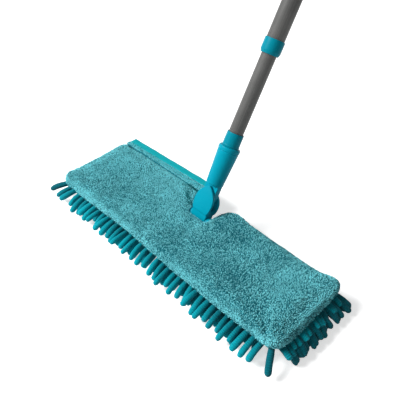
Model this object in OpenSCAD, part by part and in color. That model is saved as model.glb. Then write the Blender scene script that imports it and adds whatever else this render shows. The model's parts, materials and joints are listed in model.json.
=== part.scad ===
// Double-sided flat mop with a fork joint and a telescopic pole.
// The head lies along X with its fingers on the floor at z = 0, and the pole leans back towards +Y.

/* [Cover] */
// Length of the cover, left to right
cover_w = 431; // [360:1:540]
// Depth of the cover, front to rear
cover_d = 132; // [124:1:170]
// Radius of the cover's corners seen from above
cover_corner_r = 14; // [8:1:24]
// Width of the rounded roll along the terry's edges
edge_roll = 14; // [8:0.5:20]
// Thickness of the terry over the foam at its rim
terry_t = 2.4; // [1.5:0.1:6]
// Extra height of the terry's crown at the middle
crown_h = 1.5; // [0:0.1:6]
// How far the sides draw in between the corners
draw_in = 2; // [0:0.1:4]
// Cloth between the roll and the board's edge
board_inset = 1; // [0.5:0.5:6]
// Thickness of the foam sheet under the terry
liner_t = 2; // [1:0.5:5]
// How far the hinge arms show at each side of the notch
arm_show = 3; // [2:0.5:6]
// Free space between the fork's sweep and the notch's front edge
notch_clear = 1.1; // [0.8:0.1:4]
// Radius of the notch's inner corners
notch_corner_r = 5; // [2:0.5:9]
// Cloth between the notch's edge and the bay in the board
bay_wall = 11; // [8:0.5:16]

/* [Hem of the opening] */
// Depth of the hem beyond the cover's rear edge at the left end
hem_reach_end = 4; // [2:0.5:12]
// Depth of the hem beyond the cover's rear edge at the notch
hem_reach_notch = 12; // [4:0.5:20]
// Thickness of the hem
hem_t = 4.6; // [3:0.1:6]
// Distance of the hem's seam in front of the cover's rear edge
hem_seam = 7; // [5:0.5:10]
// Width of the smooth tape along the hem
tape_w = 8; // [4:0.5:14]
// Thickness of the smooth tape
tape_t = 3; // [1.5:0.1:4.5]
// Width of the grip tape under the hem
grip_tape_w = 7; // [4:0.5:9]
// Thickness of the grip tape
grip_tape_t = 1.6; // [0.8:0.1:3]
// Distance of the hem's left end from the cover's left end
hem_end_gap = 6; // [2:0.5:20]

/* [Chenille fingers] */
// Height of the backing above the floor
finger_drop = 25; // [15:0.5:40]
// Thickness of the woven backing
backing_t = 2.5; // [1.5:0.1:4]
// Side of a finger at its root
finger_t = 6.6; // [4:0.1:8]
// Side of a finger at its tip
finger_tip_t = 5.6; // [3:0.1:7]
// Columns of fingers on each side of the notch
finger_cols = 17; // [12:1:20]
// Columns of fingers in front of the notch
centre_cols = 5; // [3:2:7]
// Rows of fingers, front to rear
finger_rows = 9; // [7:2:11]
// Half width of the strip without side fingers
centre_half = 31; // [28:0.5:40]
// Distance of the backing from the cover's edge
backing_inset = 5; // [3:0.5:10]
// How far the front fingers splay out
front_reach = 33; // [10:1:45]
// Height of the front fingers' tips
front_tip_z = 13; // [5:0.5:22]
// How far the end fingers splay out
end_reach = 29; // [10:1:40]
// Height of the end fingers' tips
end_tip_z = 8; // [5:0.5:20]

/* [Hinge] */
// Distance of the hinge axis behind the cover's middle
hinge_y = 29.4; // [20:0.1:36]
// Diameter of the hinge axle
axle_d = 5; // [4:0.1:6]
// Diameter of the hinge arms, and depth of the board's rim
arm_d = 11.4; // [9:0.1:14]
// Diameter of the fork's barrel
barrel_d = 15; // [11:0.1:17]
// Length of the fork's barrel
barrel_w = 39.2; // [36:0.1:48]

/* [Board] */
// Thickness of the board's plate
plate_t = 3; // [2:0.1:5]
// Thickness of the rim and the ribs
rib_t = 2.6; // [1.5:0.1:4]
// Radius of the board's corners
board_corner_r = 12; // [4:1:20]
// Number of cross ribs on each side of the bay
cross_ribs = 4; // [1:1:7]

/* [Fork] */
// Lean of the pole from upright
lean = 30.8; // [10:0.1:50]
// Thickness of the socket's tongue
tongue_t = 10; // [7:0.1:12]
// Width of the socket's tongue
tongue_w = 23; // [18:0.5:24]
// Free space beside and below the tongue
tongue_gap = 0.4; // [0.3:0.05:0.8]
// Thickness of each cheek
cheek_t = 4.4; // [3:0.1:6]
// Width of the shield at its widest
shield_w = 33; // [28:0.5:36]
// Width of the shield at its foot
shield_foot_w = 28; // [20:0.5:32]
// Height of the shield's foot above the hinge axis
shield_foot = 10.5; // [9:0.1:13]
// Height of the shield's widest place
shield_belly = 31; // [26:0.5:35]
// Height of the shield's tip
shield_tip = 54; // [48:0.5:56]
// Height of the swing pin
swing_h = 29; // [27:0.5:32]
// Diameter of the swing pin
swing_pin_d = 6; // [4:0.1:7]
// How deep the swing pin sits in the front cheek
swing_pin_seat = 2.6; // [1.5:0.1:2.8]
// Diameter of the swing pin's head
pin_head_d = 9; // [7:0.1:12]
// Height of the swing pin's head
pin_head_h = 1.6; // [1:0.1:2.5]
// How far the fork's foot stands back from the shield
foot_step = 1.8; // [0.5:0.1:3]

/* [Socket] */
// Free space between the shield's tip and the socket's cone
cone_gap = 1.6; // [1:0.1:6]
// Diameter of the cone at its lower end
cone_low_d = 25.4; // [25:0.1:28]
// Diameter of the cone at its lip
cone_top_d = 31.6; // [30:0.1:36]
// Height of the socket's lip above the hinge axis
socket_top = 113.4; // [105:0.1:130]
// Height of the bevel at the lip
lip_h = 4; // [1:0.1:8]
// Depth of the tube's seat in the socket
tube_seat = 38; // [30:0.5:42]
// Length of the ferrule's spigot
spigot_len = 18; // [10:0.5:22]
// Wall of the ferrule's spigot
spigot_wall = 1.4; // [1:0.1:1.8]
// Height of the ferrule's ring
ferrule_h = 20.6; // [10:0.1:30]
// Diameter of the ferrule's ring
ferrule_d = 25.2; // [24.4:0.1:28]
// Diameter of the rivet
rivet_d = 3.2; // [2.4:0.1:4]
// Diameter of the rivet's head
rivet_head_d = 6.4; // [5:0.1:8]
// Height of the rivet's head
rivet_head_h = 1.3; // [0.8:0.1:2]
// Distance of the rivet above the tube's end
rivet_up = 10; // [6:0.5:16]

/* [Pole] */
// Diameter of the lower tube
lower_d = 21; // [19:0.1:21.4]
// Wall of the lower tube
lower_wall = 0.9; // [0.6:0.05:1.5]
// Length of the lower tube
lower_len = 600; // [500:5:700]
// Diameter of the upper tube
upper_d = 25; // [24.4:0.1:27]
// Wall of the upper tube
upper_wall = 1; // [0.6:0.05:1.4]
// Length of the upper tube
upper_len = 600; // [560:5:700]
// Length of lower tube that shows between ferrule and collar
tube_show = 111; // [20:1:160]
// Height of the lock collar
collar_h = 18.5; // [12:0.1:30]
// Diameter of the lock collar
collar_d = 27.8; // [27:0.1:34]
// Height of the collar's bevel and end wall
collar_bevel = 2.4; // [1.5:0.1:5]
// Length of the guide bush
bush_len = 30; // [15:1:50]

/* [Lock] */
// Length of the plug in the lower tube
plug_len = 30; // [15:1:50]
// Height of the stem's flange
flange_h = 2; // [1:0.1:4]
// Diameter of the stem
stem_d = 10; // [7:0.1:13]
// Height of the split sleeve
sleeve_h = 24; // [15:0.5:40]
// Width of the sleeve's slit
slit_w = 3; // [1:0.1:5]
// Free space above and below the sleeve
sleeve_gap = 0.3; // [0.2:0.05:0.8]
// Diameter of the keeper disc
keeper_d = 17; // [14:0.1:20]
// Thickness of the keeper disc
keeper_t = 3; // [2:0.1:5]
// Diameter of the keeper's screw head
keeper_screw_d = 7; // [5:0.1:9]
// Height of the keeper's screw head
keeper_screw_h = 2.4; // [1:0.1:4]

/* [Grip] */
// Length of the hand grip
grip_len = 118; // [80:1:180]
// Diameter of the hand grip
grip_d = 30; // [28:0.5:36]
// Number of grooves round the grip
grip_grooves = 7; // [3:1:12]
// Width of a groove
groove_w = 3; // [1.5:0.1:5]
// Depth of a groove
groove_depth = 0.9; // [0.4:0.1:1]
// Height of the end cap's shoulder
cap_h = 14; // [10:0.5:24]
// Length of the end cap's plug
cap_plug = 24; // [12:1:40]
// Diameter of the hanging eye
eye_d = 10; // [6:0.1:14]
// Wall round the hanging eye
eye_wall = 4; // [3:0.1:6]
// Thickness of the eye's tab
eye_t = 8; // [5:0.1:12]

/* [Fits] */
// Radial clearance where a pin turns in its bore
run_fit = 0.05; // [0.02:0.01:0.1]
// Radial clearance where a piece is pushed in and stays
seat_fit = 0.04; // [0.02:0.01:0.08]
// Radial clearance where a piece slides in a tube
slide_fit = 0.08; // [0.05:0.01:0.1]
// Space between layers that lie on each other
layer_gap = 0.3; // [0.2:0.05:0.6]
// End play of the fork between the hinge arms
end_play = 0.4; // [0.3:0.05:1]

/* [Hidden] */
$fn = 96;

// Colours
TERRY = [0.30, 0.62, 0.64];
CHENILLE = [0.02, 0.50, 0.54];
PLASTIC = [0.0, 0.62, 0.70];
TAPE = [0.0, 0.66, 0.70];
GREY = [0.42, 0.42, 0.42];
STEEL = [0.72, 0.73, 0.74];
FOAM = [0.85, 0.86, 0.84];
DARK = [0.12, 0.16, 0.18];

// Heights of the head's layers
seam_z = finger_drop + backing_t + layer_gap;
hinge_z = finger_drop + backing_t + layer_gap + layer_gap + arm_d / 2;
board_top_z = hinge_z + arm_d / 2;
liner_z = board_top_z + layer_gap;
pocket_top_z = liner_z + liner_t + layer_gap;
terry_rim_z = pocket_top_z + terry_t;

// Plan of the head
half_w = cover_w / 2;
half_d = cover_d / 2;
board_w = cover_w - 2 * (edge_roll + board_inset);
board_d = cover_d - 2 * (edge_roll + board_inset);
fork_half = tongue_t / 2 + tongue_gap + cheek_t;
arm_in = barrel_w / 2 + end_play;
notch_half = arm_in + arm_show;
notch_front = hinge_y - max(fork_half, barrel_d / 2) - notch_clear;
bay_half = notch_half + bay_wall;
bay_front = notch_front - bay_wall;

// Hem of the opening, on the left half of the rear edge
hem_top_z = terry_rim_z;
hem_seat_z = hem_top_z - hem_t;
hem_left = -half_w + hem_end_gap;
hem_right = -notch_half;
hem_seam_y = half_d - hem_seam;

// Heights along the pole, from the hinge axis
foot_top = swing_h - tongue_w / 2 - tongue_gap;
cone_low = shield_tip + cone_gap;
tube_low = socket_top - tube_seat;
ferrule_top = socket_top + ferrule_h;
collar_low = ferrule_top + tube_show;
upper_low = collar_low + collar_bevel;
upper_top = upper_low + upper_len;
lower_top = tube_low + lower_len;
stem_low = lower_top + flange_h;
stem_len = sleeve_h + 2 * sleeve_gap;
eye_h = upper_top + cap_h + eye_d / 2;

// Radii of the pole's pieces
lower_r = lower_d / 2;
lower_in_r = lower_r - lower_wall;
upper_r = upper_d / 2;
upper_in_r = upper_r - upper_wall;
spigot_r = lower_r + seat_fit + spigot_wall;

// Shared shapes

// Frame of the fork and the pole: the hinge axis at the origin, z along the pole, -y to the front
module neck() {
    translate([0, hinge_y, hinge_z]) rotate([-lean, 0, 0]) children();
}

module x_cylinder(r, x0, x1) {
    translate([x0, 0, 0]) rotate([0, 90, 0]) cylinder(r = r, h = x1 - x0);
}

// Pin along z with its head below the origin
module headed_pin(d, head_d, head_h, len) {
    rotate_extrude() polygon([
        [0, -head_h], [head_d / 2, -head_h], [head_d / 2, 0], [d / 2, 0], [d / 2, len], [0, len]
    ]);
}

module on_hinge() {
    translate([0, hinge_y, hinge_z]) children();
}

module tube(r_out, r_in, z0, z1) {
    translate([0, 0, z0]) difference() {
        cylinder(r = r_out, h = z1 - z0);
        translate([0, 0, -1]) cylinder(r = r_in, h = z1 - z0 + 2);
    }
}

// Flat plate between two places along the front-to-rear direction, drawn in x and height
module upright_plate(y0, y1) {
    translate([0, y1, 0]) rotate([90, 0, 0]) linear_extrude(y1 - y0) children();
}

module rounded_rect(w, d, r) {
    square([w - 2 * r, d], center = true);
    square([w, d - 2 * r], center = true);
    for (sx = [-1, 1], sy = [-1, 1]) translate([sx * (w / 2 - r), sy * (d / 2 - r)]) circle(r);
}

// Rectangle that opens to the rear, with rounded corners at its front end
module rear_bay(half, front, r) {
    reach = half_d + hem_reach_notch + tape_w;
    translate([-half, front + r]) square([2 * half, reach - front]);
    translate([-half + r, front]) square([2 * (half - r), r + 1]);
    for (s = [-1, 1]) translate([s * (half - r), front + r]) circle(r);
}

module board_outline(grow = 0) {
    difference() {
        rounded_rect(board_w + 2 * grow, board_d + 2 * grow, board_corner_r + grow);
        rear_bay(bay_half - grow, bay_front + grow, notch_corner_r);
    }
}

// Soft forms

// Distance inside a rectangle with rounded corners
function inside(x, y) =
    let (qx = abs(x) - (half_w - cover_corner_r), qy = abs(y) - (half_d - cover_corner_r))
    cover_corner_r - norm([max(qx, 0), max(qy, 0)]) - min(max(qx, qy), 0);

// Height of the terry at a place, from its seam over the roll to the crown
function terry_z(x, y) =
    let (
        d = min(edge_roll, max(0, inside(x, y))),
        bulge = crown_h * (1 - pow(x / half_w, 2)) * (1 - pow(y / half_d, 2)),
        roll = sqrt(max(0, 1 - pow(1 - d / edge_roll, 2)))
    )
    seam_z + (terry_rim_z + bulge - seam_z) * roll;

// Half length of the row at y, shorter where the corners round off
function row_half(y) =
    let (e = max(0, abs(y) - (half_d - cover_corner_r)))
    half_w - cover_corner_r + sqrt(max(0, pow(cover_corner_r, 2) - e * e));

// Places across a half width: close together on the roll and even between
roll_steps = [0, 0.06, 0.22, 0.5, 1];
function stations(half, even) = concat(
    [for (s = roll_steps) -half + s * edge_roll],
    [for (i = [1 : even - 1]) (half - edge_roll) * (2 * i / even - 1)],
    [for (i = [len(roll_steps) - 1 : -1 : 0]) half - roll_steps[i] * edge_roll]
);

// Places where the sides draw in between the corners
function drawn_in(p) = [
    p[0] * (1 - draw_in / half_w * (1 - pow(p[1] / half_d, 2))),
    p[1] * (1 - draw_in / half_d * (1 - pow(p[0] / half_w, 2))),
    p[2]
];

module terry_pillow() {
    xs = stations(half_w, 36);
    ys = stations(half_d, 8);
    nx = len(xs) - 1;
    ny = len(ys) - 1;
    points = [
        for (x = xs, y = ys)
        let (px = x / half_w * row_half(y))
        drawn_in([px, y, terry_z(px, y)])
    ];
    function at(i, j) = i * (ny + 1) + j;
    top = [
        for (i = [0 : nx - 1], j = [0 : ny - 1])
        let (a = at(i, j), b = at(i, j + 1), c = at(i + 1, j + 1), d = at(i + 1, j))
        each (i < nx / 2) == (j < ny / 2) ? [[a, b, c], [a, c, d]] : [[a, b, d], [b, c, d]]
    ];
    under = [
        for (i = [1 : nx - 2])
        each [[at(i, 0), at(i + 1, 0), at(i + 1, ny)], [at(i, 0), at(i + 1, ny), at(i, ny)]]
    ];
    under_ends = [
        for (j = [0 : ny - 1])
        each [[at(1, 0), at(0, j + 1), at(0, j)], [at(nx - 1, 0), at(nx, j), at(nx, j + 1)]]
    ];
    under_last = [[at(1, 0), at(1, ny), at(0, ny)], [at(nx - 1, 0), at(nx, ny), at(nx - 1, ny)]];
    polyhedron(points, concat(top, under, under_ends, under_last));
}

// Mat of straight fingers on a slice of backing. side is -1, 0 or 1 for the left, centre and right mat
module finger_mat(x0, x1, cols, y0, y1, rows, side) {
    cell_x = (x1 - x0) / cols;
    cell_y = (y1 - y0) / rows;
    corner = [[-1, -1], [1, -1], [1, 1], [-1, 1]];
    sway = rands(-1, 1, 2 * cols * rows, 7 + side);
    grid = [for (i = [0 : cols], j = [0 : rows]) [x0 + i * cell_x, y0 + j * cell_y, finger_drop]];
    roof = [for (c = [[x0, y0], [x1, y0], [x1, y1], [x0, y1]]) [c[0], c[1], finger_drop + backing_t]];
    fingers = [
        for (i = [0 : cols - 1], j = [0 : rows - 1])
        let (
            at_end = side < 0 && i == 0 || side > 0 && i == cols - 1,
            at_front = j == 0,
            free = at_end || at_front,
            root = [x0 + (i + 0.5) * cell_x, y0 + (j + 0.5) * cell_y, finger_drop],
            k = 2 * (i * rows + j),
            loose = (free ? 2 : side == 0 ? 0 : 0.8) * [sway[k], sway[k + 1]],
            out = [at_end ? side * end_reach : 0, at_front ? -front_reach : 0],
            tip_z = at_front ? front_tip_z : at_end ? end_tip_z : 0,
            tip = [root[0] + out[0] + loose[0], root[1] + out[1] + loose[1], tip_z],
            run = norm(out),
            way = run > 0 ? out / run : [0, 1],
            fall = atan2(finger_drop - tip_z, max(run, 0.001)),
            across = run > 0 ? [-way[1], way[0], 0] : [1, 0, 0],
            up = run > 0 ? [way[0] * sin(fall), way[1] * sin(fall), cos(fall)] : [0, 1, 0]
        )
        concat(
            [for (c = corner) root + finger_t / 2 * [c[0], c[1], 0]],
            [for (c = corner) tip + finger_tip_t / 2 * tip_corner(c, way, across, up, run > 0)]
        )
    ];
    n_grid = len(grid);
    function g(i, j) = i * (rows + 1) + j;
    function f(i, j, k) = n_grid + 4 + 8 * (i * rows + j) + k;
    cells = [
        for (i = [0 : cols - 1], j = [0 : rows - 1])
        let (c = [g(i, j), g(i + 1, j), g(i + 1, j + 1), g(i, j + 1)])
        each concat(
            [
                for (k = [0 : 3])
                let (m = (k + 1) % 4)
                each [
                    [c[k], c[m], f(i, j, m)], [c[k], f(i, j, m), f(i, j, k)],
                    [f(i, j, k), f(i, j, m), f(i, j, m + 4)], [f(i, j, k), f(i, j, m + 4), f(i, j, k + 4)]
                ]
            ],
            [[f(i, j, 4), f(i, j, 5), f(i, j, 6)], [f(i, j, 4), f(i, j, 6), f(i, j, 7)]]
        )
    ];
    rims = [
        [for (i = [0 : cols]) g(i, 0)],
        [for (j = [0 : rows]) g(cols, j)],
        [for (i = [cols : -1 : 0]) g(i, rows)],
        [for (j = [rows : -1 : 0]) g(0, j)]
    ];
    walls = [
        for (w = [0 : 3])
        let (rim = rims[w], last = len(rim) - 1, a = n_grid + w, b = n_grid + (w + 1) % 4)
        each concat([for (i = [0 : last - 1]) [a, rim[i + 1], rim[i]]], [[a, b, rim[last]]])
    ];
    top = [[n_grid, n_grid + 3, n_grid + 2], [n_grid, n_grid + 2, n_grid + 1]];
    polyhedron(concat(grid, roof, [for (p = fingers) each p]), concat(cells, walls, top));
}

// Corner of a finger's end: level on a finger that stands, square to the way of one that splays
function tip_corner(c, way, across, up, splayed) =
    splayed
    ? let (a = c * [-way[1], way[0]], b = c * way) a * across + b * up
    : [c[0], c[1], 0];

// Head

module frame_board() {
    cell = (board_w / 2 - bay_half) / (cross_ribs + 1);
    color(PLASTIC) difference() {
        union() {
            translate([0, 0, hinge_z - plate_t / 2]) linear_extrude(plate_t) board_outline();
            translate([0, 0, hinge_z - arm_d / 2]) linear_extrude(arm_d) difference() {
                board_outline();
                board_outline(-rib_t);
            }
            translate([0, 0, hinge_z - arm_d / 2]) linear_extrude(arm_d) intersection() {
                board_outline();
                union() {
                    for (s = [-1, 1], i = [1 : cross_ribs])
                        translate([s * (bay_half + i * cell), 0]) square([rib_t, board_d], center = true);
                    translate([0, bay_front / 2 - board_d / 4]) square([board_w, rib_t], center = true);
                }
            }
            on_hinge() for (s = [0, 180]) rotate([0, 0, s]) x_cylinder(arm_d / 2, arm_in, bay_half + rib_t);
        }
        on_hinge() x_cylinder(axle_d / 2 + seat_fit, -bay_half - 2 * rib_t, bay_half + 2 * rib_t);
    }
}

module hinge_axle() {
    color(STEEL) on_hinge() x_cylinder(axle_d / 2, -bay_half - rib_t, bay_half + rib_t);
}

module foam_liner() {
    color(FOAM) translate([0, 0, liner_z]) linear_extrude(liner_t) board_outline();
}

module terry_cover() {
    arm_slot = arm_d + 2 * layer_gap;
    slot_top = hinge_z + arm_slot / 2;
    color(TERRY) difference() {
        terry_pillow();
        translate([0, 0, seam_z - 1]) linear_extrude(pocket_top_z - seam_z + 1) board_outline(layer_gap);
        translate([0, 0, seam_z - 1]) linear_extrude(terry_rim_z + crown_h - seam_z + 2)
            rear_bay(notch_half, notch_front, notch_corner_r);
        translate([-bay_half, hinge_y - arm_slot / 2, seam_z - 1])
            cube([2 * bay_half, arm_slot, slot_top - seam_z + 1]);
        translate([hem_left - layer_gap, hem_seam_y, hem_seat_z])
            cube([hem_right - hem_left + 2 * layer_gap, cover_d, hem_t + crown_h + 1]);
    }
}

module chenille_left() {
    color(CHENILLE) finger_mat(
        -half_w + backing_inset, -centre_half, finger_cols,
        -half_d + backing_inset, half_d - backing_inset, finger_rows, -1);
}

module chenille_right() {
    color(CHENILLE) finger_mat(
        centre_half, half_w - backing_inset, finger_cols,
        -half_d + backing_inset, half_d - backing_inset, finger_rows, 1);
}

// Rear edge of the centre mat: half a cell behind the middle, so that one finger stands on the origin
row_pitch = (cover_d - 2 * backing_inset) / finger_rows;
centre_rows = (finger_rows + 1) / 2;
centre_rear = row_pitch / 2;

module chenille_centre() {
    color(CHENILLE) finger_mat(
        -centre_half + layer_gap, centre_half - layer_gap, centre_cols,
        -half_d + backing_inset, centre_rear, centre_rows, 0);
}

module notch_facing() {
    facing_half = centre_half - layer_gap;
    facing_rear = half_d - backing_inset;
    color(CHENILLE) translate([0, 0, finger_drop]) linear_extrude(backing_t) difference() {
        translate([-facing_half, centre_rear + layer_gap])
            square([2 * facing_half, facing_rear - centre_rear - layer_gap]);
        rear_bay(notch_half, notch_front, notch_corner_r);
    }
}

module hem_strip(from_end, to_end, from_notch, to_notch) {
    polygon([
        [hem_left, half_d + from_end], [hem_right, half_d + from_notch],
        [hem_right, half_d + to_notch], [hem_left, half_d + to_end]
    ]);
}

module opening_hem() {
    color(TERRY) translate([0, 0, hem_seat_z + layer_gap]) linear_extrude(hem_t - layer_gap)
        hem_strip(layer_gap - hem_seam, hem_reach_end, layer_gap - hem_seam, hem_reach_notch);
}

module binding_tape() {
    mid_z = hem_seat_z + (hem_t + layer_gap) / 2;
    color(TAPE) translate([0, 0, mid_z - tape_t / 2]) linear_extrude(tape_t) hem_strip(
        hem_reach_end + layer_gap, hem_reach_end + tape_w,
        hem_reach_notch + layer_gap, hem_reach_notch + tape_w);
}

module hem_grip_tape() {
    color(DARK) translate([0, 0, hem_seat_z - grip_tape_t]) linear_extrude(grip_tape_t) hem_strip(
        hem_reach_end - grip_tape_w / 2, hem_reach_end,
        hem_reach_notch - grip_tape_w, hem_reach_notch);
}

// Fork

// Outline of a cheek: it widens from its foot to its belly, then closes to a tip in two arcs
module shield_outline() {
    belly = shield_w / 2;
    rise = shield_tip - shield_belly;
    arc_r = (rise * rise + belly * belly) / (2 * belly);
    polygon([
        [-shield_foot_w / 2, shield_foot], [shield_foot_w / 2, shield_foot],
        [belly, shield_belly], [-belly, shield_belly]
    ]);
    intersection() {
        translate([belly - arc_r, shield_belly]) circle(arc_r);
        translate([arc_r - belly, shield_belly]) circle(arc_r);
        translate([-belly, shield_belly]) square([shield_w, rise + 1]);
    }
}

module yoke() {
    inner = tongue_t / 2 + tongue_gap;
    foot_half = fork_half - foot_step;
    color(PLASTIC) neck() difference() {
        union() {
            x_cylinder(barrel_d / 2, -barrel_w / 2, barrel_w / 2);
            translate([-shield_foot_w / 2, -foot_half, 0]) cube([shield_foot_w, 2 * foot_half, foot_top]);
            upright_plate(-fork_half, -inner) shield_outline();
            upright_plate(inner, fork_half) shield_outline();
        }
        x_cylinder(axle_d / 2 + run_fit, -barrel_w, barrel_w);
        translate([0, fork_half + 1, swing_h]) rotate([90, 0, 0])
            cylinder(d = swing_pin_d + 2 * seat_fit, h = fork_half + 1 + inner + swing_pin_seat + seat_fit);
    }
}

module swing_pin() {
    inner = tongue_t / 2 + tongue_gap;
    color(STEEL) neck() translate([0, fork_half, swing_h]) rotate([90, 0, 0])
        headed_pin(swing_pin_d, pin_head_d, pin_head_h, fork_half + inner + swing_pin_seat);
}

// Pole

module pole_socket() {
    low_r = cone_low_d / 2;
    top_r = cone_top_d / 2;
    bevel = 1.2;
    color(PLASTIC) neck() difference() {
        union() {
            rotate_extrude() polygon([
                [0, cone_low], [low_r - bevel, cone_low], [low_r, cone_low + bevel],
                [top_r, socket_top - lip_h], [top_r - bevel, socket_top], [0, socket_top]
            ]);
            upright_plate(-tongue_t / 2, tongue_t / 2) {
                translate([0, swing_h]) circle(d = tongue_w);
                translate([-tongue_w / 2, swing_h]) square([tongue_w, cone_low + bevel - swing_h]);
            }
        }
        translate([0, 0, tube_low - seat_fit])
            cylinder(r = lower_r + seat_fit, h = socket_top);
        translate([0, 0, socket_top - spigot_len - seat_fit])
            cylinder(r = spigot_r + seat_fit, h = socket_top);
        translate([0, tongue_t, swing_h]) rotate([90, 0, 0])
            cylinder(d = swing_pin_d + 2 * run_fit, h = 2 * tongue_t);
        rivet_hole();
    }
}

// Radius of the socket's cone at the rivet
rivet_h = tube_low + rivet_up;
rivet_seat_r = cone_low_d / 2
    + (cone_top_d - cone_low_d) / 2 * (rivet_h - cone_low) / (socket_top - lip_h - cone_low);

module rivet_hole() {
    translate([0, 0, rivet_h]) rotate([-90, 0, 0]) cylinder(d = rivet_d + 2 * seat_fit, h = cone_top_d);
}

module tube_rivet() {
    seat = rivet_seat_r + layer_gap;
    inner_end = lower_in_r - 1;
    color(STEEL) neck() translate([0, seat, rivet_h]) rotate([90, 0, 0])
        headed_pin(rivet_d, rivet_head_d, rivet_head_h, seat - inner_end);
}

module ferrule() {
    bore_r = lower_r + seat_fit;
    ring_r = ferrule_d / 2;
    taper = 0.5;
    color(PLASTIC) neck() rotate_extrude() polygon([
        [bore_r, socket_top - spigot_len], [spigot_r, socket_top - spigot_len],
        [spigot_r, socket_top], [ring_r, socket_top],
        [ring_r - taper, ferrule_top - taper], [ring_r - 2 * taper, ferrule_top],
        [bore_r, ferrule_top]
    ]);
}

module lower_tube() {
    color(GREY) neck() difference() {
        tube(lower_r, lower_in_r, tube_low, lower_top);
        rivet_hole();
    }
}

module lock_stem() {
    plug_r = lower_in_r - seat_fit;
    color(DARK) neck() rotate_extrude() polygon([
        [0, lower_top - plug_len], [plug_r, lower_top - plug_len], [plug_r, lower_top],
        [lower_r, lower_top], [lower_r, stem_low],
        [stem_d / 2, stem_low], [stem_d / 2, stem_low + stem_len], [0, stem_low + stem_len]
    ]);
}

module lock_keeper() {
    low = stem_low + stem_len;
    color(STEEL) neck() rotate_extrude() polygon([
        [0, low], [keeper_d / 2, low], [keeper_d / 2, low + keeper_t],
        [keeper_screw_d / 2, low + keeper_t], [keeper_screw_d / 2, low + keeper_t + keeper_screw_h],
        [0, low + keeper_t + keeper_screw_h]
    ]);
}

module lock_sleeve() {
    low = stem_low + sleeve_gap;
    color(FOAM) neck() difference() {
        tube(upper_in_r - slide_fit, stem_d / 2 + run_fit, low, low + sleeve_h);
        translate([-slit_w / 2, 0, low - 1]) cube([slit_w, upper_d, sleeve_h + 2]);
    }
}

module upper_tube() {
    color(GREY) neck() tube(upper_r, upper_in_r, upper_low, upper_top);
}

module lock_collar() {
    ring_r = collar_d / 2;
    bore_r = upper_r + seat_fit;
    color(PLASTIC) neck() rotate_extrude() polygon([
        [lower_r + layer_gap, collar_low], [ring_r - collar_bevel / 2, collar_low],
        [ring_r, collar_low + collar_bevel], [ring_r, collar_low + collar_h],
        [bore_r, collar_low + collar_h], [bore_r, upper_low], [lower_r + layer_gap, upper_low]
    ]);
}

module collar_bush() {
    color(FOAM) neck() tube(upper_in_r - seat_fit, lower_r + slide_fit, upper_low, upper_low + bush_len);
}

module hand_grip() {
    low = upper_top - grip_len;
    pitch = grip_len / (grip_grooves + 1);
    color(PLASTIC) neck() difference() {
        tube(grip_d / 2, upper_r + seat_fit, low, upper_top);
        for (i = [1 : grip_grooves]) {
            groove = low + i * pitch;
            tube(grip_d, grip_d / 2 - groove_depth, groove - groove_w / 2, groove + groove_w / 2);
        }
    }
}

module end_cap() {
    cap_r = grip_d / 2;
    bevel = 4;
    tab_r = eye_d / 2 + eye_wall;
    plug_r = upper_in_r - seat_fit;
    color(PLASTIC) neck() difference() {
        union() {
            rotate_extrude() polygon([
                [0, upper_top - cap_plug], [plug_r, upper_top - cap_plug], [plug_r, upper_top],
                [cap_r, upper_top], [cap_r, upper_top + cap_h - bevel],
                [cap_r - bevel, upper_top + cap_h], [0, upper_top + cap_h]
            ]);
            translate([-eye_t / 2, 0, eye_h]) rotate([0, 90, 0]) cylinder(r = tab_r, h = eye_t);
            translate([-eye_t / 2, -tab_r, upper_top + cap_h / 2])
                cube([eye_t, 2 * tab_r, eye_h - upper_top - cap_h / 2]);
        }
        translate([0, 0, eye_h]) x_cylinder(eye_d / 2, -grip_d, grip_d);
    }
}

frame_board();
hinge_axle();
foam_liner();
terry_cover();
chenille_left();
chenille_centre();
chenille_right();
notch_facing();
opening_hem();
binding_tape();
hem_grip_tape();
yoke();
swing_pin();
pole_socket();
ferrule();
tube_rivet();
lower_tube();
lock_stem();
lock_keeper();
lock_sleeve();
upper_tube();
lock_collar();
collar_bush();
hand_grip();
end_cap();
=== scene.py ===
# %% [markdown]
# # Dressing a flat mop
#
# The frame that is loaded here is the mop's CAD model: plain solids, each on a body that moves on a
# joint. This lesson gives every one of them its looks. Hard pieces are turned, cut and bevelled again
# with finer edges, and cloth is modelled as cloth: a puffed terry pad, a folded tape and soft fingers.
# Every new piece stands where its solid stands, so the joints keep working. Sizes are in millimetres,
# and MM turns them into Blender's metres.

# %% Load the frame
import json
import math
from contextlib import contextmanager

import bmesh
import bpy
import numpy as np
from mathutils import Matrix, Vector, noise


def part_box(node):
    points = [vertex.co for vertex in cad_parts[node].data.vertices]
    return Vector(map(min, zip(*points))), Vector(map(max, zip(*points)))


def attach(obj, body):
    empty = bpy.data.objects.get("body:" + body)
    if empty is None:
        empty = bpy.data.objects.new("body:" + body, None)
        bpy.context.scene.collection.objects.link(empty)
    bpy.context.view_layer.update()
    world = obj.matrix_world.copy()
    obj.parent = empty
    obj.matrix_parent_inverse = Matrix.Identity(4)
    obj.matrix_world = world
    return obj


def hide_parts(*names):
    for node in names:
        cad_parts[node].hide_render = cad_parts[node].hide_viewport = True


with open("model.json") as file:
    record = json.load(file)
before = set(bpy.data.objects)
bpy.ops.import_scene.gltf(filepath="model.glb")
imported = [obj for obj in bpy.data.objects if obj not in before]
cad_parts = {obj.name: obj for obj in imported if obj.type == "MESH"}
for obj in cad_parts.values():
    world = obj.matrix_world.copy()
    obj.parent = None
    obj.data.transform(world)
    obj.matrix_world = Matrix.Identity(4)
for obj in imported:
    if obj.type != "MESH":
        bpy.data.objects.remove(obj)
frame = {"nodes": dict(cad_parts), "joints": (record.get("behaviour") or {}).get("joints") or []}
scene = bpy.context.scene
MM = 0.001
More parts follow.
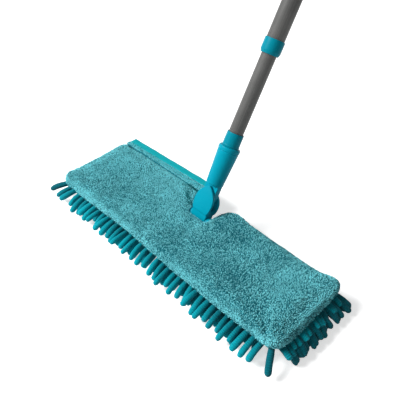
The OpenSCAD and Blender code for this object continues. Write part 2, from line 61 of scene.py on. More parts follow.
# Without a seed, noise vectors would differ from run to run.
noise.seed_set(4)
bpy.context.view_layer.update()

# %% [markdown]
# ## Camera
#
# The camera's place was found by fitting a pinhole camera to edges of known size: the tubes, the
# cover's sides and the fork. It looks down at about 42 degrees, over the front right corner.

# %% Camera
CAMERA_AT = (0.3688, -0.3301, 0.5245)
CAMERA_TILT, CAMERA_TURN = math.radians(48.44), math.radians(45.78)
SENSOR, LENS = 36, 43.8
bpy.ops.object.select_all(action="DESELECT")
bpy.ops.object.camera_add(location=CAMERA_AT, rotation=(CAMERA_TILT, 0, CAMERA_TURN))
camera = bpy.context.object
camera.name = "photo_camera"
camera.data.sensor_width = SENSOR
camera.data.lens = LENS
scene.camera = camera
print("lens", LENS, "mm")

# %% [markdown]
# ## The pole's own axes
#
# The fork, the socket and the tubes lean back, but they are far easier to model upright. The joints
# give the directions: the pole slides along its length and swings about its rear normal. A matrix made
# of these three directions carries an upright piece to its place. Along the pole, heights count from
# the hinge that tilts the head.

# %% The neck matrix
joints = {joint["name"]: joint for joint in frame["joints"]}
HINGE = Vector(joints["head_tilt"]["pos_m"])
ALONG = Vector(joints["pole_slide"]["axis"]).normalized()
REAR = Vector(joints["pole_swing"]["axis"]).normalized()
LEAN = math.asin(ALONG.y)
NECK = Matrix((Vector((1, 0, 0)), REAR, ALONG)).transposed().to_4x4()
NECK.translation = HINGE
print("the pole leans back", round(math.degrees(LEAN), 1), "degrees")

# %% [markdown]
# ## Tools of the bench
#
# Operators act on whatever is selected, so every step starts by selecting one piece only. In edit mode
# faces and edges are picked by a test on their place, just as a hand would click them.


# %% Selecting and editing
def deselect():
    bpy.ops.object.select_all(action="DESELECT")


def only(piece):
    deselect()
    piece.select_set(True)
    bpy.context.view_layer.objects.active = piece


def discard(piece):
    only(piece)
    bpy.ops.object.delete()


@contextmanager
def editing(piece):
    only(piece)
    bpy.ops.object.mode_set(mode="EDIT")
    bpy.ops.mesh.select_all(action="SELECT")
    yield piece
    bpy.ops.object.mode_set(mode="OBJECT")


def pick(piece, kind, wanted):
    """In edit mode, selects the edges or faces that pass a test."""
    bpy.ops.mesh.select_mode(type={"edges": "EDGE", "faces": "FACE"}[kind])
    bpy.ops.mesh.select_all(action="DESELECT")
    mesh = bmesh.from_edit_mesh(piece.data)
    for part in getattr(mesh, kind):
        if wanted(part):
            part.select_set(True)
    mesh.select_flush_mode()
    bmesh.update_edit_mesh(piece.data)


def upright(edge):
    return abs(edge.verts[0].co.z - edge.verts[1].co.z) > 1 * MM


def modify(piece, kind, **settings):
    only(piece)
    modifier = piece.modifiers.new(kind.lower(), kind)
    for key, value in settings.items():
        setattr(modifier, key, value)
    bpy.ops.object.modifier_apply(modifier=modifier.name)


def named(name):
    piece = bpy.context.object
    piece.name = piece.data.name = name
    return piece


def settle(piece, matrix=None):
    """Applies a piece's own transform, after a move by a matrix if one is given."""
    only(piece)
    if matrix is not None:
        piece.matrix_world = matrix @ piece.matrix_world
    bpy.ops.object.transform_apply(location=True, rotation=True, scale=True)


def soften(piece, width, segments=3):
    modify(
        piece, "BEVEL", width=width * MM, segments=segments, limit_method="ANGLE",
        angle_limit=math.radians(35), harden_normals=False,
    )


def smooth(piece, angle=40):
    only(piece)
    bpy.ops.object.shade_smooth_by_angle(angle=math.radians(angle))


# %% [markdown]
# A finished piece gets its material and its place in the frame: the body it rides on, and the CAD nodes
# that it stands for, which are hidden. Pieces of the pole are modelled upright, so they lean
# back with the pole first.


# %% Into the frame
def dress(piece, material):
    piece.data.materials.clear()
    piece.data.materials.append(material)


def describe(piece):
    size = [round(value / MM, 1) for value in piece.dimensions]
    print(piece.name, size, "mm,", len(piece.data.polygons), "faces")


def into_frame(piece, material, body, slot, *nodes):
    dress(piece, material)
    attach(piece, body)
    if nodes:
        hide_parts(*nodes)
    describe(piece)


def onto_pole(piece, material, body, slot, node, angle=30):
    settle(piece, NECK)
    smooth(piece, angle)
    into_frame(piece, material, body, slot, node)


# %% [markdown]
# Three shapes come back again and again on this mop: a block between two corners, a flat form cut to
# an outline, and a round piece that a lathe would turn. Each starts from a primitive or a drawn
# profile. `eased` rounds the corners of an outline, because nothing moulded has a knife edge.


# %% Blocks and rods
def block(name, low, high):
    low, high = Vector(low) * MM, Vector(high) * MM
    deselect()
    bpy.ops.mesh.primitive_cube_add(size=1, location=(low + high) / 2)
    bpy.ops.transform.resize(value=high - low)
    piece = named(name)
    settle(piece)
    return piece


def crosswise(name, radius, half_length, height, edge):
    """A rod across the mop, at a height along the pole."""
    deselect()
    bpy.ops.mesh.primitive_cylinder_add(
        vertices=48, radius=radius * MM, depth=2 * half_length * MM,
        location=(0, 0, height * MM), rotation=(0, math.pi / 2, 0),
    )
    piece = named(name)
    settle(piece)
    soften(piece, edge)
    return piece


def combine(piece, other, operation="UNION"):
    modify(piece, "BOOLEAN", object=other, operation=operation, solver="EXACT")
    discard(other)


# %% Outlines, plates and slabs
EDGE_SHARE = 0.45


def eased(outline, radius, closed=True, steps=4):
    """Rounds an outline's corners. A corner takes less than half of the edges beside it."""
    points = [Vector(point) for point in outline]
    count = len(points)
    result = []
    for i, corner in enumerate(points):
        if not closed and i in (0, count - 1):
            result.append(corner)
            continue
        before, after = points[i - 1] - corner, points[(i + 1) % count] - corner
        start = corner + before.normalized() * min(radius, before.length * EDGE_SHARE)
        end = corner + after.normalized() * min(radius, after.length * EDGE_SHARE)
        for step in range(steps + 1):
            t = step / steps
            result.append(start * (1 - t) ** 2 + corner * 2 * t * (1 - t) + end * t**2)
    return result


def pulled(name, points, move):
    """A flat face through the points, pulled out into a solid."""
    deselect()
    bpy.ops.mesh.primitive_circle_add(vertices=len(points), fill_type="NGON")
    piece = named(name)
    for vertex, point in zip(piece.data.vertices, points):
        vertex.co = [value * MM for value in point]
    with editing(piece):
        bpy.ops.mesh.extrude_region_move(TRANSFORM_OT_translate={"value": [value * MM for value in move]})
        bpy.ops.mesh.select_all(action="SELECT")
        bpy.ops.mesh.normals_make_consistent(inside=False)
    return piece


def plate(name, outline, front, rear, edge):
    """An upright plate: its outline is given across and along the pole, its faces by depth."""
    piece = pulled(name, [(x, front, height) for x, height in outline], (0, rear - front, 0))
    soften(piece, edge)
    return piece


def slab(name, outline, low, high):
    """A level slab: its outline is given across and front to rear, its faces by height."""
    return pulled(name, [(x, y, low) for x, y in outline], (0, 0, high - low))


# %% Turned pieces
def turned(name, profile, ring=True):
    """A round piece about the pole's axis: (radius, height) points, spun full circle."""
    mesh = bpy.data.meshes.new(name)
    points = [(radius * MM, 0, height * MM) for radius, height in profile]
    links = [(i, i + 1) for i in range(len(points) - 1)]
    mesh.from_pydata(points, links + ([(len(points) - 1, 0)] if ring else []), [])
    piece = bpy.data.objects.new(name, mesh)
    scene.collection.objects.link(piece)
    with editing(piece):
        bpy.ops.mesh.spin(steps=64, angle=math.tau, center=(0, 0, 0), axis=(0, 0, 1))
        bpy.ops.mesh.select_all(action="SELECT")
        bpy.ops.mesh.remove_doubles(threshold=0.01 * MM)
        bpy.ops.mesh.normals_make_consistent(inside=False)
    return piece


# %% [markdown]
# Loops, stitches and fingers are each modelled once and then copied many times. These helpers read a
# model's points and faces, and build one mesh from all the copies.


# %% Copies
def points_of(piece):
    flat = np.empty(len(piece.data.vertices) * 3)
    piece.data.vertices.foreach_get("co", flat)
    return flat.reshape(-1, 3)


def shape_of(piece):
    return points_of(piece), [tuple(face.vertices) for face in piece.data.polygons]


def fill(mesh, copies, faces):
    """Builds a mesh from the points of every copy and the faces of one."""
    size = len(copies[0])
    starts = range(0, size * len(copies), size)
    all_faces = [[first + corner for corner in face] for first in starts for face in faces]
    mesh.from_pydata(np.concatenate(copies), [], all_faces)


def repeat(piece, shape, places):
    """Rebuilds a piece as copies of one shape, each put in its own place."""
    points, faces = shape
    piece.data.clear_geometry()
    fill(piece.data, [[spot @ Vector(point) for point in points] for spot in places], faces)
    piece.data.update()


def grown(name, copies, faces, **attributes):
    """A new piece from copies in mm, with a value for every point in each attribute."""
    mesh = bpy.data.meshes.new(name)
    fill(mesh, [points * MM for points in copies], faces)
    for label, values in attributes.items():
        mesh.attributes.new(label, "FLOAT", "POINT").data.foreach_set("value", np.concatenate(values))
    piece = bpy.data.objects.new(name, mesh)
    scene.collection.objects.link(piece)
    smooth(piece, 180)
    return piece


# %% [markdown]
# ## Finishes: shared effects
#
# Several finishes need the same effect, so each effect is a node group with its own inputs: pile for
# looped and tufted cloth, weave for flat cloth, grain for moulded plastic, and drawing lines for
# metal. A group gives only colours, roughness and heights; the shader itself stays in the material.


# %% Node helpers
def colour(red, green, blue):
    return (red, green, blue, 1.0)


BLACK, WHITE = colour(0, 0, 0), colour(1, 1, 1)


def new_group(name, inputs, outputs):
    """A node group, with the sockets that come in and those that go out."""
    group = bpy.data.node_groups.new(name, "ShaderNodeTree")
    for label, value in inputs.items():
        kind = "NodeSocketColor" if isinstance(value, tuple) else "NodeSocketFloat"
        group.interface.new_socket(label, in_out="INPUT", socket_type=kind).default_value = value
    for label in outputs:
        kind = "NodeSocketColor" if label == "Colour" else "NodeSocketFloat"
        group.interface.new_socket(label, in_out="OUTPUT", socket_type=kind)
    enter, leave = group.nodes.new("NodeGroupInput"), group.nodes.new("NodeGroupOutput")
    return group, enter.outputs[:len(inputs)], leave.inputs


def feed(value, socket):
    """Links an output to a socket, or sets a plain value on it. The socket knows its own tree."""
    if isinstance(value, bpy.types.NodeSocket):
        socket.id_data.links.new(value, socket)
    else:
        socket.default_value = value


def add(tree, kind, **values):
    """A new node. Each value goes to the node's own setting of that name, or else to its input."""
    node = tree.nodes.new("ShaderNode" + kind)
    for key, value in values.items():
        if hasattr(node, key):
            setattr(node, key, value)
        else:
            feed(value, node.inputs[key.replace("_", " ")])
    return node


def mottle(place, **values):
    return add(place.id_data, "TexNoise", Vector=place, **values).outputs["Fac"]


def mix_colour(factor, first, second):
    node = add(factor.id_data, "Mix", data_type="RGBA")
    for number, value in ((0, factor), (6, first), (7, second)):
        feed(value, node.inputs[number])
    return node.outputs[2]


def remap(value, *limits):
    """Carries a value from one span to another: low, high, new low, new high."""
    node = add(value.id_data, "MapRange")
    for number, socket in zip((value, *limits), node.inputs):
        feed(number, socket)
    return node.outputs[0]


def calculate(operation, first, second):
    node = add(first.id_data, "Math", operation=operation)
    for value, socket in zip((first, second), node.inputs):
        feed(value, socket)
    return node.outputs[0]


# %% [markdown]
# Pile has light tips and dark gaps, the gaps painted as the shade between its loops, and lies in patches
# that catch the light differently, painted as darker patches. How far a point stands out comes from the
# mesh as an attribute, because only the mesh knows. The group adds the patches and the single yarns, which
# are finer than the mesh. A finger is wound like a rope, so a second attribute, the angle of that winding,
# gives it fine rings of bump and of painted shade.

# %% Pile
pile, (gap, tip, rise, yarn_size, patchy, coil, coil_depth), leave = new_group(
    "Pile",
    {"Gap": BLACK, "Tip": WHITE, "Rise": 0.5, "Yarn size": 900.0, "Patch strength": 0.3,
     "Coil": 0.0, "Coil depth": 0.0},
    ["Colour", "Height"],
)
place = add(pile, "TexCoord").outputs["Object"]
yarn = mottle(place, Scale=yarn_size, Detail=3.0, Roughness=0.65)
patch = mottle(place, Scale=24.0, Detail=4.0, Roughness=0.6, Distortion=1.5)
coils = calculate("MULTIPLY", calculate("SINE", coil, 0.0), coil_depth)
fine = remap(yarn, 0.3, 0.7, -0.22, 0.22)
# Painted shade: a point's rise and the grooves of a finger's winding mix the gap colour into the tip
# colour.
risen = calculate("ADD", rise, calculate("ADD", fine, coils))
risen.node.use_clamp = True
# Painted shade: patches of nap that catch less light are mixed towards the gap colour.
painted_shade = calculate("MULTIPLY", remap(patch, 0.32, 0.68, 0.0, 1.0), patchy)
feed(mix_colour(painted_shade, mix_colour(risen, gap, tip), gap), leave["Colour"])
feed(calculate("ADD", yarn, calculate("MULTIPLY", coils, 3.0)), leave["Height"])
print("group", pile.name)

# %% [markdown]
# Flat woven cloth is two sets of threads at right angles. Two wave textures make the ribs, and their
# product gives the little squares where the threads cross.

# %% Weave
weave, (light, dark, count), leave = new_group(
    "Weave", {"Thread": WHITE, "Shadow": BLACK, "Count": 400.0}, ["Colour", "Height"])
place = add(weave, "TexCoord").outputs["Object"]
ribs = [
    add(weave, "TexWave", wave_type="BANDS", bands_direction=way, Vector=place, Scale=count,
        Distortion=1.5, Detail=2.0).outputs["Fac"]
    for way in ("X", "Y")
]
crossing = calculate("MULTIPLY", *ribs)
fade = remap(mottle(place, Scale=60.0, Detail=2.0), 0.3, 0.7, 0.75, 1.0)
lit = calculate("MULTIPLY", remap(crossing, 0.0, 0.6, 0.45, 1.0), fade)
feed(mix_colour(lit, dark, light), leave["Colour"])
feed(crossing, leave["Height"])
print("group", weave.name)

# %% [markdown]
# Moulded plastic is never even: the mould leaves a fine grain, the colour clouds a little, and use
# leaves scuffs that are duller and paler than the rest.

# %% Grain
grain, (body, scuff, gloss), leave = new_group(
    "Moulded grain", {"Body": WHITE, "Scuff": WHITE, "Gloss": 0.35}, ["Colour", "Roughness", "Height"])
place = add(grain, "TexCoord").outputs["Object"]
cloud = mottle(place, Scale=45.0, Detail=4.0, Roughness=0.6)
rubs = mottle(place, Scale=170.0, Detail=6.0, Roughness=0.75, Distortion=2.0)
scuffed = remap(rubs, 0.56, 0.74, 0.0, 0.45)
faded = calculate("MAXIMUM", scuffed, remap(cloud, 0.3, 0.7, 0.0, 0.2))
feed(mix_colour(faded, body, scuff), leave["Colour"])
feed(calculate("ADD", gloss, calculate("MULTIPLY", scuffed, 0.4)), leave["Roughness"])
feed(mottle(place, Scale=2600.0, Detail=1.0), leave["Height"])
print("group", grain.name)

# %% [markdown]
# A drawn tube carries very fine lines along its length. A noise that is stretched along the pole gives
# them: the coordinates are turned upright first, then squeezed along the pole.

# %% Drawing lines
drawn, (metal, dull, polish), leave = new_group(
    "Drawing lines", {"Metal": WHITE, "Dull": BLACK, "Polish": 0.3}, ["Colour", "Roughness", "Height"])
ACROSS, LENGTHWISE = 900, 6
place = add(drawn, "TexCoord").outputs["Object"]
turned_up = add(drawn, "Mapping", vector_type="POINT", Vector=place, Rotation=(LEAN, 0, 0))
pole_place = turned_up.outputs["Vector"]
stretch = add(drawn, "VectorMath", operation="MULTIPLY")
for value, socket in zip((pole_place, (ACROSS, ACROSS, LENGTHWISE)), stretch.inputs):
    feed(value, socket)
lines = mottle(stretch.outputs["Vector"], Scale=1.0, Detail=3.0, Roughness=0.7)
smudge = mottle(pole_place, Scale=24.0, Detail=5.0, Roughness=0.6)
lined = calculate("MULTIPLY", remap(lines, 0.3, 0.7, 0.0, 1.0), 0.5)
cloudy = calculate("MULTIPLY", remap(smudge, 0.35, 0.7, 0.0, 1.0), 0.4)
both = calculate("ADD", lined, cloudy)
feed(mix_colour(both, metal, dull), leave["Colour"])
feed(calculate("ADD", polish, calculate("MULTIPLY", both, 0.18)), leave["Roughness"])
feed(lines, leave["Height"])
print("group", drawn.name)

# %% [markdown]
# ## Finishes: one material for each stuff
#
# A finish is one of the groups with its own colours, a bump that follows the group's height, and plain
# numbers on the shader for what is the same all over, such as sheen on cloth.


# %% Material makers
def finish_with(name, group, bump, distance, settings, **inputs):
    material = bpy.data.materials.new(name)
    material.use_nodes = True
    tree = material.node_tree
    shader = tree.nodes["Principled BSDF"]
    effect = add(tree, "Group", node_tree=group, **inputs)
    feed(effect.outputs["Colour"], shader.inputs["Base Color"])
    if "Roughness" in effect.outputs:
        feed(effect.outputs["Roughness"], shader.inputs["Roughness"])
    relief = add(tree, "Bump", Strength=bump, Distance=distance, Height=effect.outputs["Height"])
    feed(relief.outputs["Normal"], shader.inputs["Normal"])
    for key, value in settings.items():
        shader.inputs[key].default_value = value
    return material


def attribute_drives(material, attribute, group_input):
    tree = material.node_tree
    source = add(tree, "Attribute", attribute_type="GEOMETRY", attribute_name=attribute)
    effect = next(node for node in tree.nodes if node.type == "GROUP")
    feed(source.outputs["Fac"], effect.inputs[group_input])


def woven(name, bump, distance, settings, thread, shadow, count):
    thread, shadow = colour(*thread), colour(*shadow)
    return finish_with(name, weave, bump, distance, settings, Thread=thread, Shadow=shadow, Count=count)


def moulded(name, bump, distance, settings, body, scuff, gloss):
    body, scuff = colour(*body), colour(*scuff)
    return finish_with(name, grain, bump, distance, settings, Body=body, Scuff=scuff, Gloss=gloss)


# %% [markdown]
# The cloths are dyed one turquoise, but the terry's tip colour is painted far lighter, as light on its
# tips, while the fingers and the woven backs stay deep. All cloth is rough, with a little sheen from its
# loose fibres.

# %% Cloth finishes
CLOTH = {"Roughness": 0.95, "Specular IOR Level": 0.08, "Sheen Weight": 0.06, "Sheen Roughness": 0.5}
CHENILLE = {**CLOTH, "Sheen Weight": 0.08}
SATIN = {"Roughness": 0.7, "Specular IOR Level": 0.12, "Sheen Weight": 0.04}
terry = finish_with(
    "terry loops", pile, 0.5, 0.0008, CLOTH, Gap=colour(0.0, 0.13, 0.17),
    Tip=colour(0.235, 0.80, 0.87), Yarn_size=1100.0, Patch_strength=0.3,
)
attribute_drives(terry, "rise", "Rise")
chenille = finish_with(
    "chenille pile", pile, 0.6, 0.0008, CHENILLE, Gap=colour(0.0, 0.10, 0.13),
    Tip=colour(0.0, 0.43, 0.52), Yarn_size=800.0, Patch_strength=0.2, Coil_depth=0.12,
)
attribute_drives(chenille, "rise", "Rise")
attribute_drives(chenille, "coil", "Coil")
tape_cloth = woven("binding tape", 0.3, 0.0002, SATIN, (0.0, 0.43, 0.475), (0.0, 0.25, 0.29), 330.0)
backing_cloth = woven("woven backing", 0.5, 0.0003, CLOTH, (0.01, 0.30, 0.33), (0.0, 0.14, 0.16), 190.0)
hook_cloth = woven("grip tape", 0.8, 0.0005, CLOTH, (0.05, 0.06, 0.07), (0.01, 0.012, 0.015), 300.0)
thread = woven("sewing thread", 0.3, 0.0001, CLOTH, (0.03, 0.40, 0.44), (0.0, 0.2, 0.23), 900.0)
pale_thread = woven("pale thread", 0.3, 0.0001, SATIN, (0.17, 0.82, 0.90), (0.07, 0.50, 0.56), 900.0)
dark_thread = woven("overlock thread", 0.3, 0.0001, CLOTH, (0.005, 0.17, 0.19), (0.0, 0.07, 0.08), 900.0)
print("cloth finishes made")

# %% [markdown]
# Plastics differ in colour, gloss and grain. The rings on the pole get a darker copy of the fork's
# plastic, as painted shade. The tubes are grey anodised aluminium, half shiny, and the pins are bright
# steel.

# %% Hard finishes
SILKY = {"Specular IOR Level": 0.06}
turquoise = moulded(
    "turquoise plastic", 0.12, 0.0002, SILKY, (0.0, 0.285, 0.395), (0.002, 0.34, 0.45), 0.34)
# Painted shade: the rings' plastic is a darker copy of the turquoise.
shade_painted_ring_plastic = moulded(
    "ring plastic", 0.12, 0.0002, SILKY, (0.0, 0.22, 0.30), (0.001, 0.26, 0.345), 0.34)
board_plastic = moulded(
    "board plastic", 0.2, 0.0002, {"Specular IOR Level": 0.4}, (0.0, 0.33, 0.40), (0.02, 0.42, 0.48), 0.45)
grip_plastic = moulded(
    "grip plastic", 0.35, 0.0003, {"Specular IOR Level": 0.35}, (0.0, 0.40, 0.47), (0.03, 0.48, 0.55), 0.55)
dark_plastic = moulded(
    "lock plastic dark", 0.2, 0.0002, {}, (0.02, 0.02, 0.022), (0.05, 0.05, 0.055), 0.4)
pale_plastic = moulded(
    "lock plastic pale", 0.2, 0.0002, {}, (0.55, 0.55, 0.52), (0.65, 0.65, 0.62), 0.4)
grey_tube = finish_with(
    "anodised tube", drawn, 0.08, 0.0001, {"Metallic": 0.25, "Specular IOR Level": 0.22},
    Metal=colour(0.124, 0.124, 0.121), Dull=colour(0.066, 0.066, 0.064), Polish=0.42,
)
steel = finish_with(
    "pin steel", drawn, 0.1, 0.0001, {"Metallic": 1.0},
    Metal=colour(0.62, 0.62, 0.62), Dull=colour(0.45, 0.45, 0.46), Polish=0.22,
)
print("hard finishes made")

# %% [markdown]
# ## The terry pad
#
# The side of the cover that is up is terry over foam, soft and a little puffed. A slab with rounded
# corners is cut for the notch and for the hem, remeshed to even squares, and blown up by Blender's
# cloth simulation with a little pressure, while its underside is held. The move is capped, so the pad
# swells like foam and not like a balloon. The start is smaller than the pad by what it will swell.

# %% Pad: the slab
PAD_LEFT, PAD_RIGHT, PAD_HALF_Y = -220.0, 217.5, 65.5
PAD_LOW, PAD_TOP, PAD_CORNER, PAD_EDGE = 26.8, 42.4, 21, 6.5
HEM_LEFT, HEM_RIGHT, HEM_SEAM, HEM_FLOOR = -209.5, -23.0, 59.0, 39.8
FAR_LEFT, FAR_REAR, FAR_UP = -250, 90, 80
NOTCH = [
    (-17.5, 20.3), (20.0, 20.3), (20.5, 33), (23, 43), (26, 54), (33, 61), (42, 68),
    (42, FAR_REAR), (-21.5, FAR_REAR), (-20.5, 50),
]
corners = [
    (PAD_LEFT, -PAD_HALF_Y), (PAD_RIGHT, -PAD_HALF_Y), (PAD_RIGHT, PAD_HALF_Y), (PAD_LEFT, PAD_HALF_Y),
]
pad = slab("terry_pad", eased(corners, PAD_CORNER, steps=8), PAD_LOW, PAD_TOP)
with editing(pad):
    pick(pad, "edges", lambda edge: not upright(edge))
    bpy.ops.mesh.bevel(offset=PAD_EDGE * MM, segments=4, affect="EDGES")
combine(pad, slab("notch_cutter", eased(NOTCH, 4), 0, FAR_UP), "DIFFERENCE")
hem_cutter = block("hem_cutter", (FAR_LEFT, HEM_SEAM, HEM_FLOOR), (HEM_RIGHT + 2.5, FAR_REAR, FAR_UP))
combine(pad, hem_cutter, "DIFFERENCE")
describe(pad)


# %% Pad: even squares, then pressure
def even_squares(piece, size):
    piece.data.remesh_voxel_size = size * MM
    only(piece)
    bpy.ops.object.voxel_remesh()


PRESSURE, LAST_STEP, HELD_BELOW = 4, 20, 29
even_squares(pad, 2.8)
start_shape = points_of(pad)
on_ledge = (start_shape[:, 1] > (HEM_SEAM + 1) * MM) & (start_shape[:, 0] < HEM_RIGHT * MM)
fixed = np.flatnonzero(on_ledge | (start_shape[:, 2] < HELD_BELOW * MM))
held = pad.vertex_groups.new(name="held")
held.add([int(i) for i in fixed], 1.0, "REPLACE")
cloth = pad.modifiers.new("cloth", "CLOTH")
cloth.settings.use_pressure = True
cloth.settings.uniform_pressure_force = PRESSURE
cloth.settings.vertex_group_mass = held.name
cloth.settings.effector_weights.gravity = 0
cloth.point_cache.frame_start, cloth.point_cache.frame_end = 1, LAST_STEP
for step in range(1, LAST_STEP + 1):
    scene.frame_set(step)
only(pad)
bpy.ops.object.modifier_apply(modifier=cloth.name)
scene.frame_set(1)
moved = points_of(pad) - start_shape
length = np.linalg.norm(moved, axis=1, keepdims=True)
print("pressure moved points by up to", round(float(length.max()) / MM, 1), "mm")

# %% [markdown]
# The capped move keeps the pad foam-like. Then come the marks of use that no simulation knows: the
# lower front edge waves, one corner is stuffed fuller and another is pressed flat, and a hump stands
# by the notch.

# %% Pad: the cap and the marks of use
CAP = 2.6
FRONT_WAVE = {
    -220: -7, -206: -6, -168: -3, -127: 0, -90: 3, -50: 4,
    -5: 2.5, 39: -1.5, 80: 0, 122: -1, 180: 3, 217: 2,
}
WAVE_FROM, WAVE_TO, WAVE_TOP, WAVE_LOW = -50, -64, 44, 34
BUMPS = [
    ((214, 66, 40), 20, (1.5, 5.5, 2.5)),
    ((46, 63, 43), 14, (0.0, 1.5, 2.2)),
    ((-216, -44, 34), 36, (-3.5, -1.0, -3.0)),
]
UNEVEN = ((0.8, 62), (0.4, 23))
shape = start_shape + moved * (CAP * MM * np.tanh(length / (CAP * MM)) / np.maximum(length, 1e-9))
shape /= MM
front = np.clip((WAVE_FROM - shape[:, 1]) / (WAVE_FROM - WAVE_TO), 0, 1)
front *= np.clip((WAVE_TOP - shape[:, 2]) / (WAVE_TOP - WAVE_LOW), 0, 1)
shape[:, 2] += front * np.interp(shape[:, 0], list(FRONT_WAVE), list(FRONT_WAVE.values()))
for centre, radius, push in BUMPS:
    near = np.exp(-(np.linalg.norm(shape - centre, axis=1) / radius) ** 2)
    shape += near[:, None] * np.array(push)
for i, spot in enumerate(shape):
    if spot[2] > 31:
        shape[i, 2] += sum(depth * noise.noise(Vector(spot) / size) for depth, size in UNEVEN)
pad.data.vertices.foreach_set("co", (shape * MM).ravel())
pad.data.update()
describe(pad)

# %% [markdown]
# Terry is thousands of small loops that lean in swirls. A bump texture can't give their furry outline,
# and hair would not export, so each loop is a little drop of nine faces. It is modelled once from a
# cone, and four copies are planted on every square of the even mesh, at chance places, leaning with the
# nap. How high a point of a loop stands is kept as an attribute: the finish turns it into light tips
# and dark gaps, painted shade at the loops' feet. Hands and washing brush the nap to and fro, and the
# brushed patches catch the light differently: that light and shade is painted into their colour.

# %% One loop
LOOP_R, LOOP_WAIST = 0.62, 0.68
deselect()
bpy.ops.mesh.primitive_cone_add(vertices=4, radius1=LOOP_R, radius2=0, depth=1, location=(0, 0, 0.5))
loop = named("one_loop")
settle(loop)
with editing(loop):
    bpy.ops.mesh.bisect(plane_co=(0, 0, LOOP_WAIST), plane_no=(0, 0, 1))
for vertex in loop.data.vertices:
    flat = Vector((vertex.co.x, vertex.co.y))
    if flat.length > 1e-6:
        girth = np.interp(vertex.co.z, [0, LOOP_WAIST, 1], [LOOP_R, 1, 0]) / flat.length
        vertex.co.x, vertex.co.y = vertex.co.x * girth, vertex.co.y * girth
loop_points, loop_faces = shape_of(loop)
describe(loop)
discard(loop)


# %% The seam and the brushed nap
HEM_EDGE = {HEM_LEFT - 4: 60.0, -90: 60.4, HEM_RIGHT + 2: 60.0}
# Painted light and shade: brushed patches of nap, each a place, a reach and how much lighter or darker it
# is painted.
NAP_LIGHT_AND_SHADE = [
    ((58, 30), 38, -0.48), ((122, -32), 27, -0.42), ((168, -56), 27, -0.42), ((15, -52), 36, -0.32),
    ((-60, 34), 40, 0.46), ((-130, 44), 44, 0.34), ((-196, 28), 36, 0.15), ((172, 8), 34, 0.36),
    ((-82, -32), 18, 0.38),
]
MOTTLED = ((0.2, 3.0), (0.24, 8), (0.28, 24))


def past_seam(spot):
    """How far a spot lies behind the seam of the hem, in mm."""
    if spot.x > HEM_RIGHT + 2:
        return -99.0
    return spot.y - np.interp(spot.x, list(HEM_EDGE), list(HEM_EDGE.values()))


def nap_light_and_mottle(spot):
    """How much lighter the nap is at a spot: painted light and shade of brushed patches, and three sizes of
    random mottling.
    """
    tone = sum(
        light * math.exp(-((spot.x - x) ** 2 + (spot.y - y) ** 2) / reach**2)
        for (x, y), reach, light in NAP_LIGHT_AND_SHADE
    )
    for light, size in MOTTLED:
        tone += light * noise.noise(spot / size)
    return tone


def rubbed(spot):
    """1 in front of the notch, where the fork wears the nap short, and 0 elsewhere."""
    return np.interp(abs(spot.x), [18, 23], [1, 0]) * np.interp(spot.y, [11, 15], [0, 1])


# %% Planting the loops
QUARTERS = ((0, 0), (1, 0), (0, 1), (1, 1))
SIZES, STANDS, TONES = (0.8, 1.2), (0.7, 1.25), (-0.85, 0.85)
SWIRL, FUZZ, ROOT_DEPTH = 0.75, 0.35, 0.8


def plant_loops(name, ground, squares, girth, height, lift, keep):
    """A field of loops on a ground's squares, where the test allows it. Lift makes them lighter."""
    chance = np.random.default_rng(5)
    drops, rise = [], []
    for square in squares:
        a, b, c, d = (ground.data.vertices[i] for i in square.vertices)
        for column, row in QUARTERS:
            u, v = (column + chance.random()) / 2, (row + chance.random()) / 2
            spot = a.co.lerp(b.co, u).lerp(d.co.lerp(c.co, u), v) / MM
            normal = a.normal.lerp(b.normal, u).lerp(d.normal.lerp(c.normal, u), v).normalized()
            jitter = Vector(chance.uniform(-1, 1, 3))
            size, stand, tone = (chance.uniform(*span) for span in (SIZES, STANDS, TONES))
            if not keep(spot, normal):
                continue
            swirl = noise.noise_vector(spot / 48) + 0.5 * noise.noise_vector(spot / 15)
            front_facing = max(0.0, -normal.y)
            up = (normal + SWIRL * (swirl - normal * swirl.dot(normal)) + FUZZ * jitter).normalized()
            side = up.orthogonal().normalized()
            turn = np.array((side, up.cross(side), up))
            wide = girth * size * (1 + 0.2 * front_facing)
            tall = height * stand * (1 - 0.35 * front_facing) * (1 - 0.55 * rubbed(spot))
            drops.append(np.array(spot - ROOT_DEPTH * normal) + (loop_points * (wide, wide, tall)) @ turn)
            # Painted light and shade: loops facing the front are painted lighter, brushed patches lighter
            # or darker, and each loop darker towards its foot; tone is random.
            level = lift - 0.05 + tone + nap_light_and_mottle(spot) + 0.1 * front_facing
            rise.append(np.clip(level + 1.15 * loop_points[:, 2] * stand, 0, 1))
    print(len(drops), "loops")
    return grown(name, drops, loop_faces, rise=rise)


FIELDS = {"far_left": (-300, -105), "left": (-105, 0), "right": (0, 105), "far_right": (105, 300)}
for field, (left, right) in FIELDS.items():
    loops = plant_loops(
        "terry_loops_" + field, pad,
        [square for square in pad.data.polygons if left <= square.center.x / MM < right],
        girth=0.72, height=2.9, lift=0.0,
        keep=lambda spot, normal: normal.z > -0.25 and spot.z > 27 and past_seam(spot) < -1.2,
    )
    into_frame(loops, terry, "mop_head", "terry")


# %% Pad: ground under the loops
def ground_shade_and_mottle(spot):
    """The ground between the loops is painted dark as their shade and mottled, and darkest, as painted
    shade, in the crease of the seam.
    """
    return 0.0 if abs(past_seam(spot / MM)) < 3 else 0.14 + 0.3 * noise.noise(spot / (2.4 * MM))


def ground_of_loops(piece):
    modify(piece, "SUBSURF", levels=1, render_levels=1)
    low = [ground_shade_and_mottle(vertex.co) for vertex in piece.data.vertices]
    piece.data.attributes.new("rise", "FLOAT", "POINT").data.foreach_set("value", low)
    smooth(piece, 180)


ground_of_loops(pad)
into_frame(pad, terry, "mop_head", "terry", "terry_cover", "foam_liner")

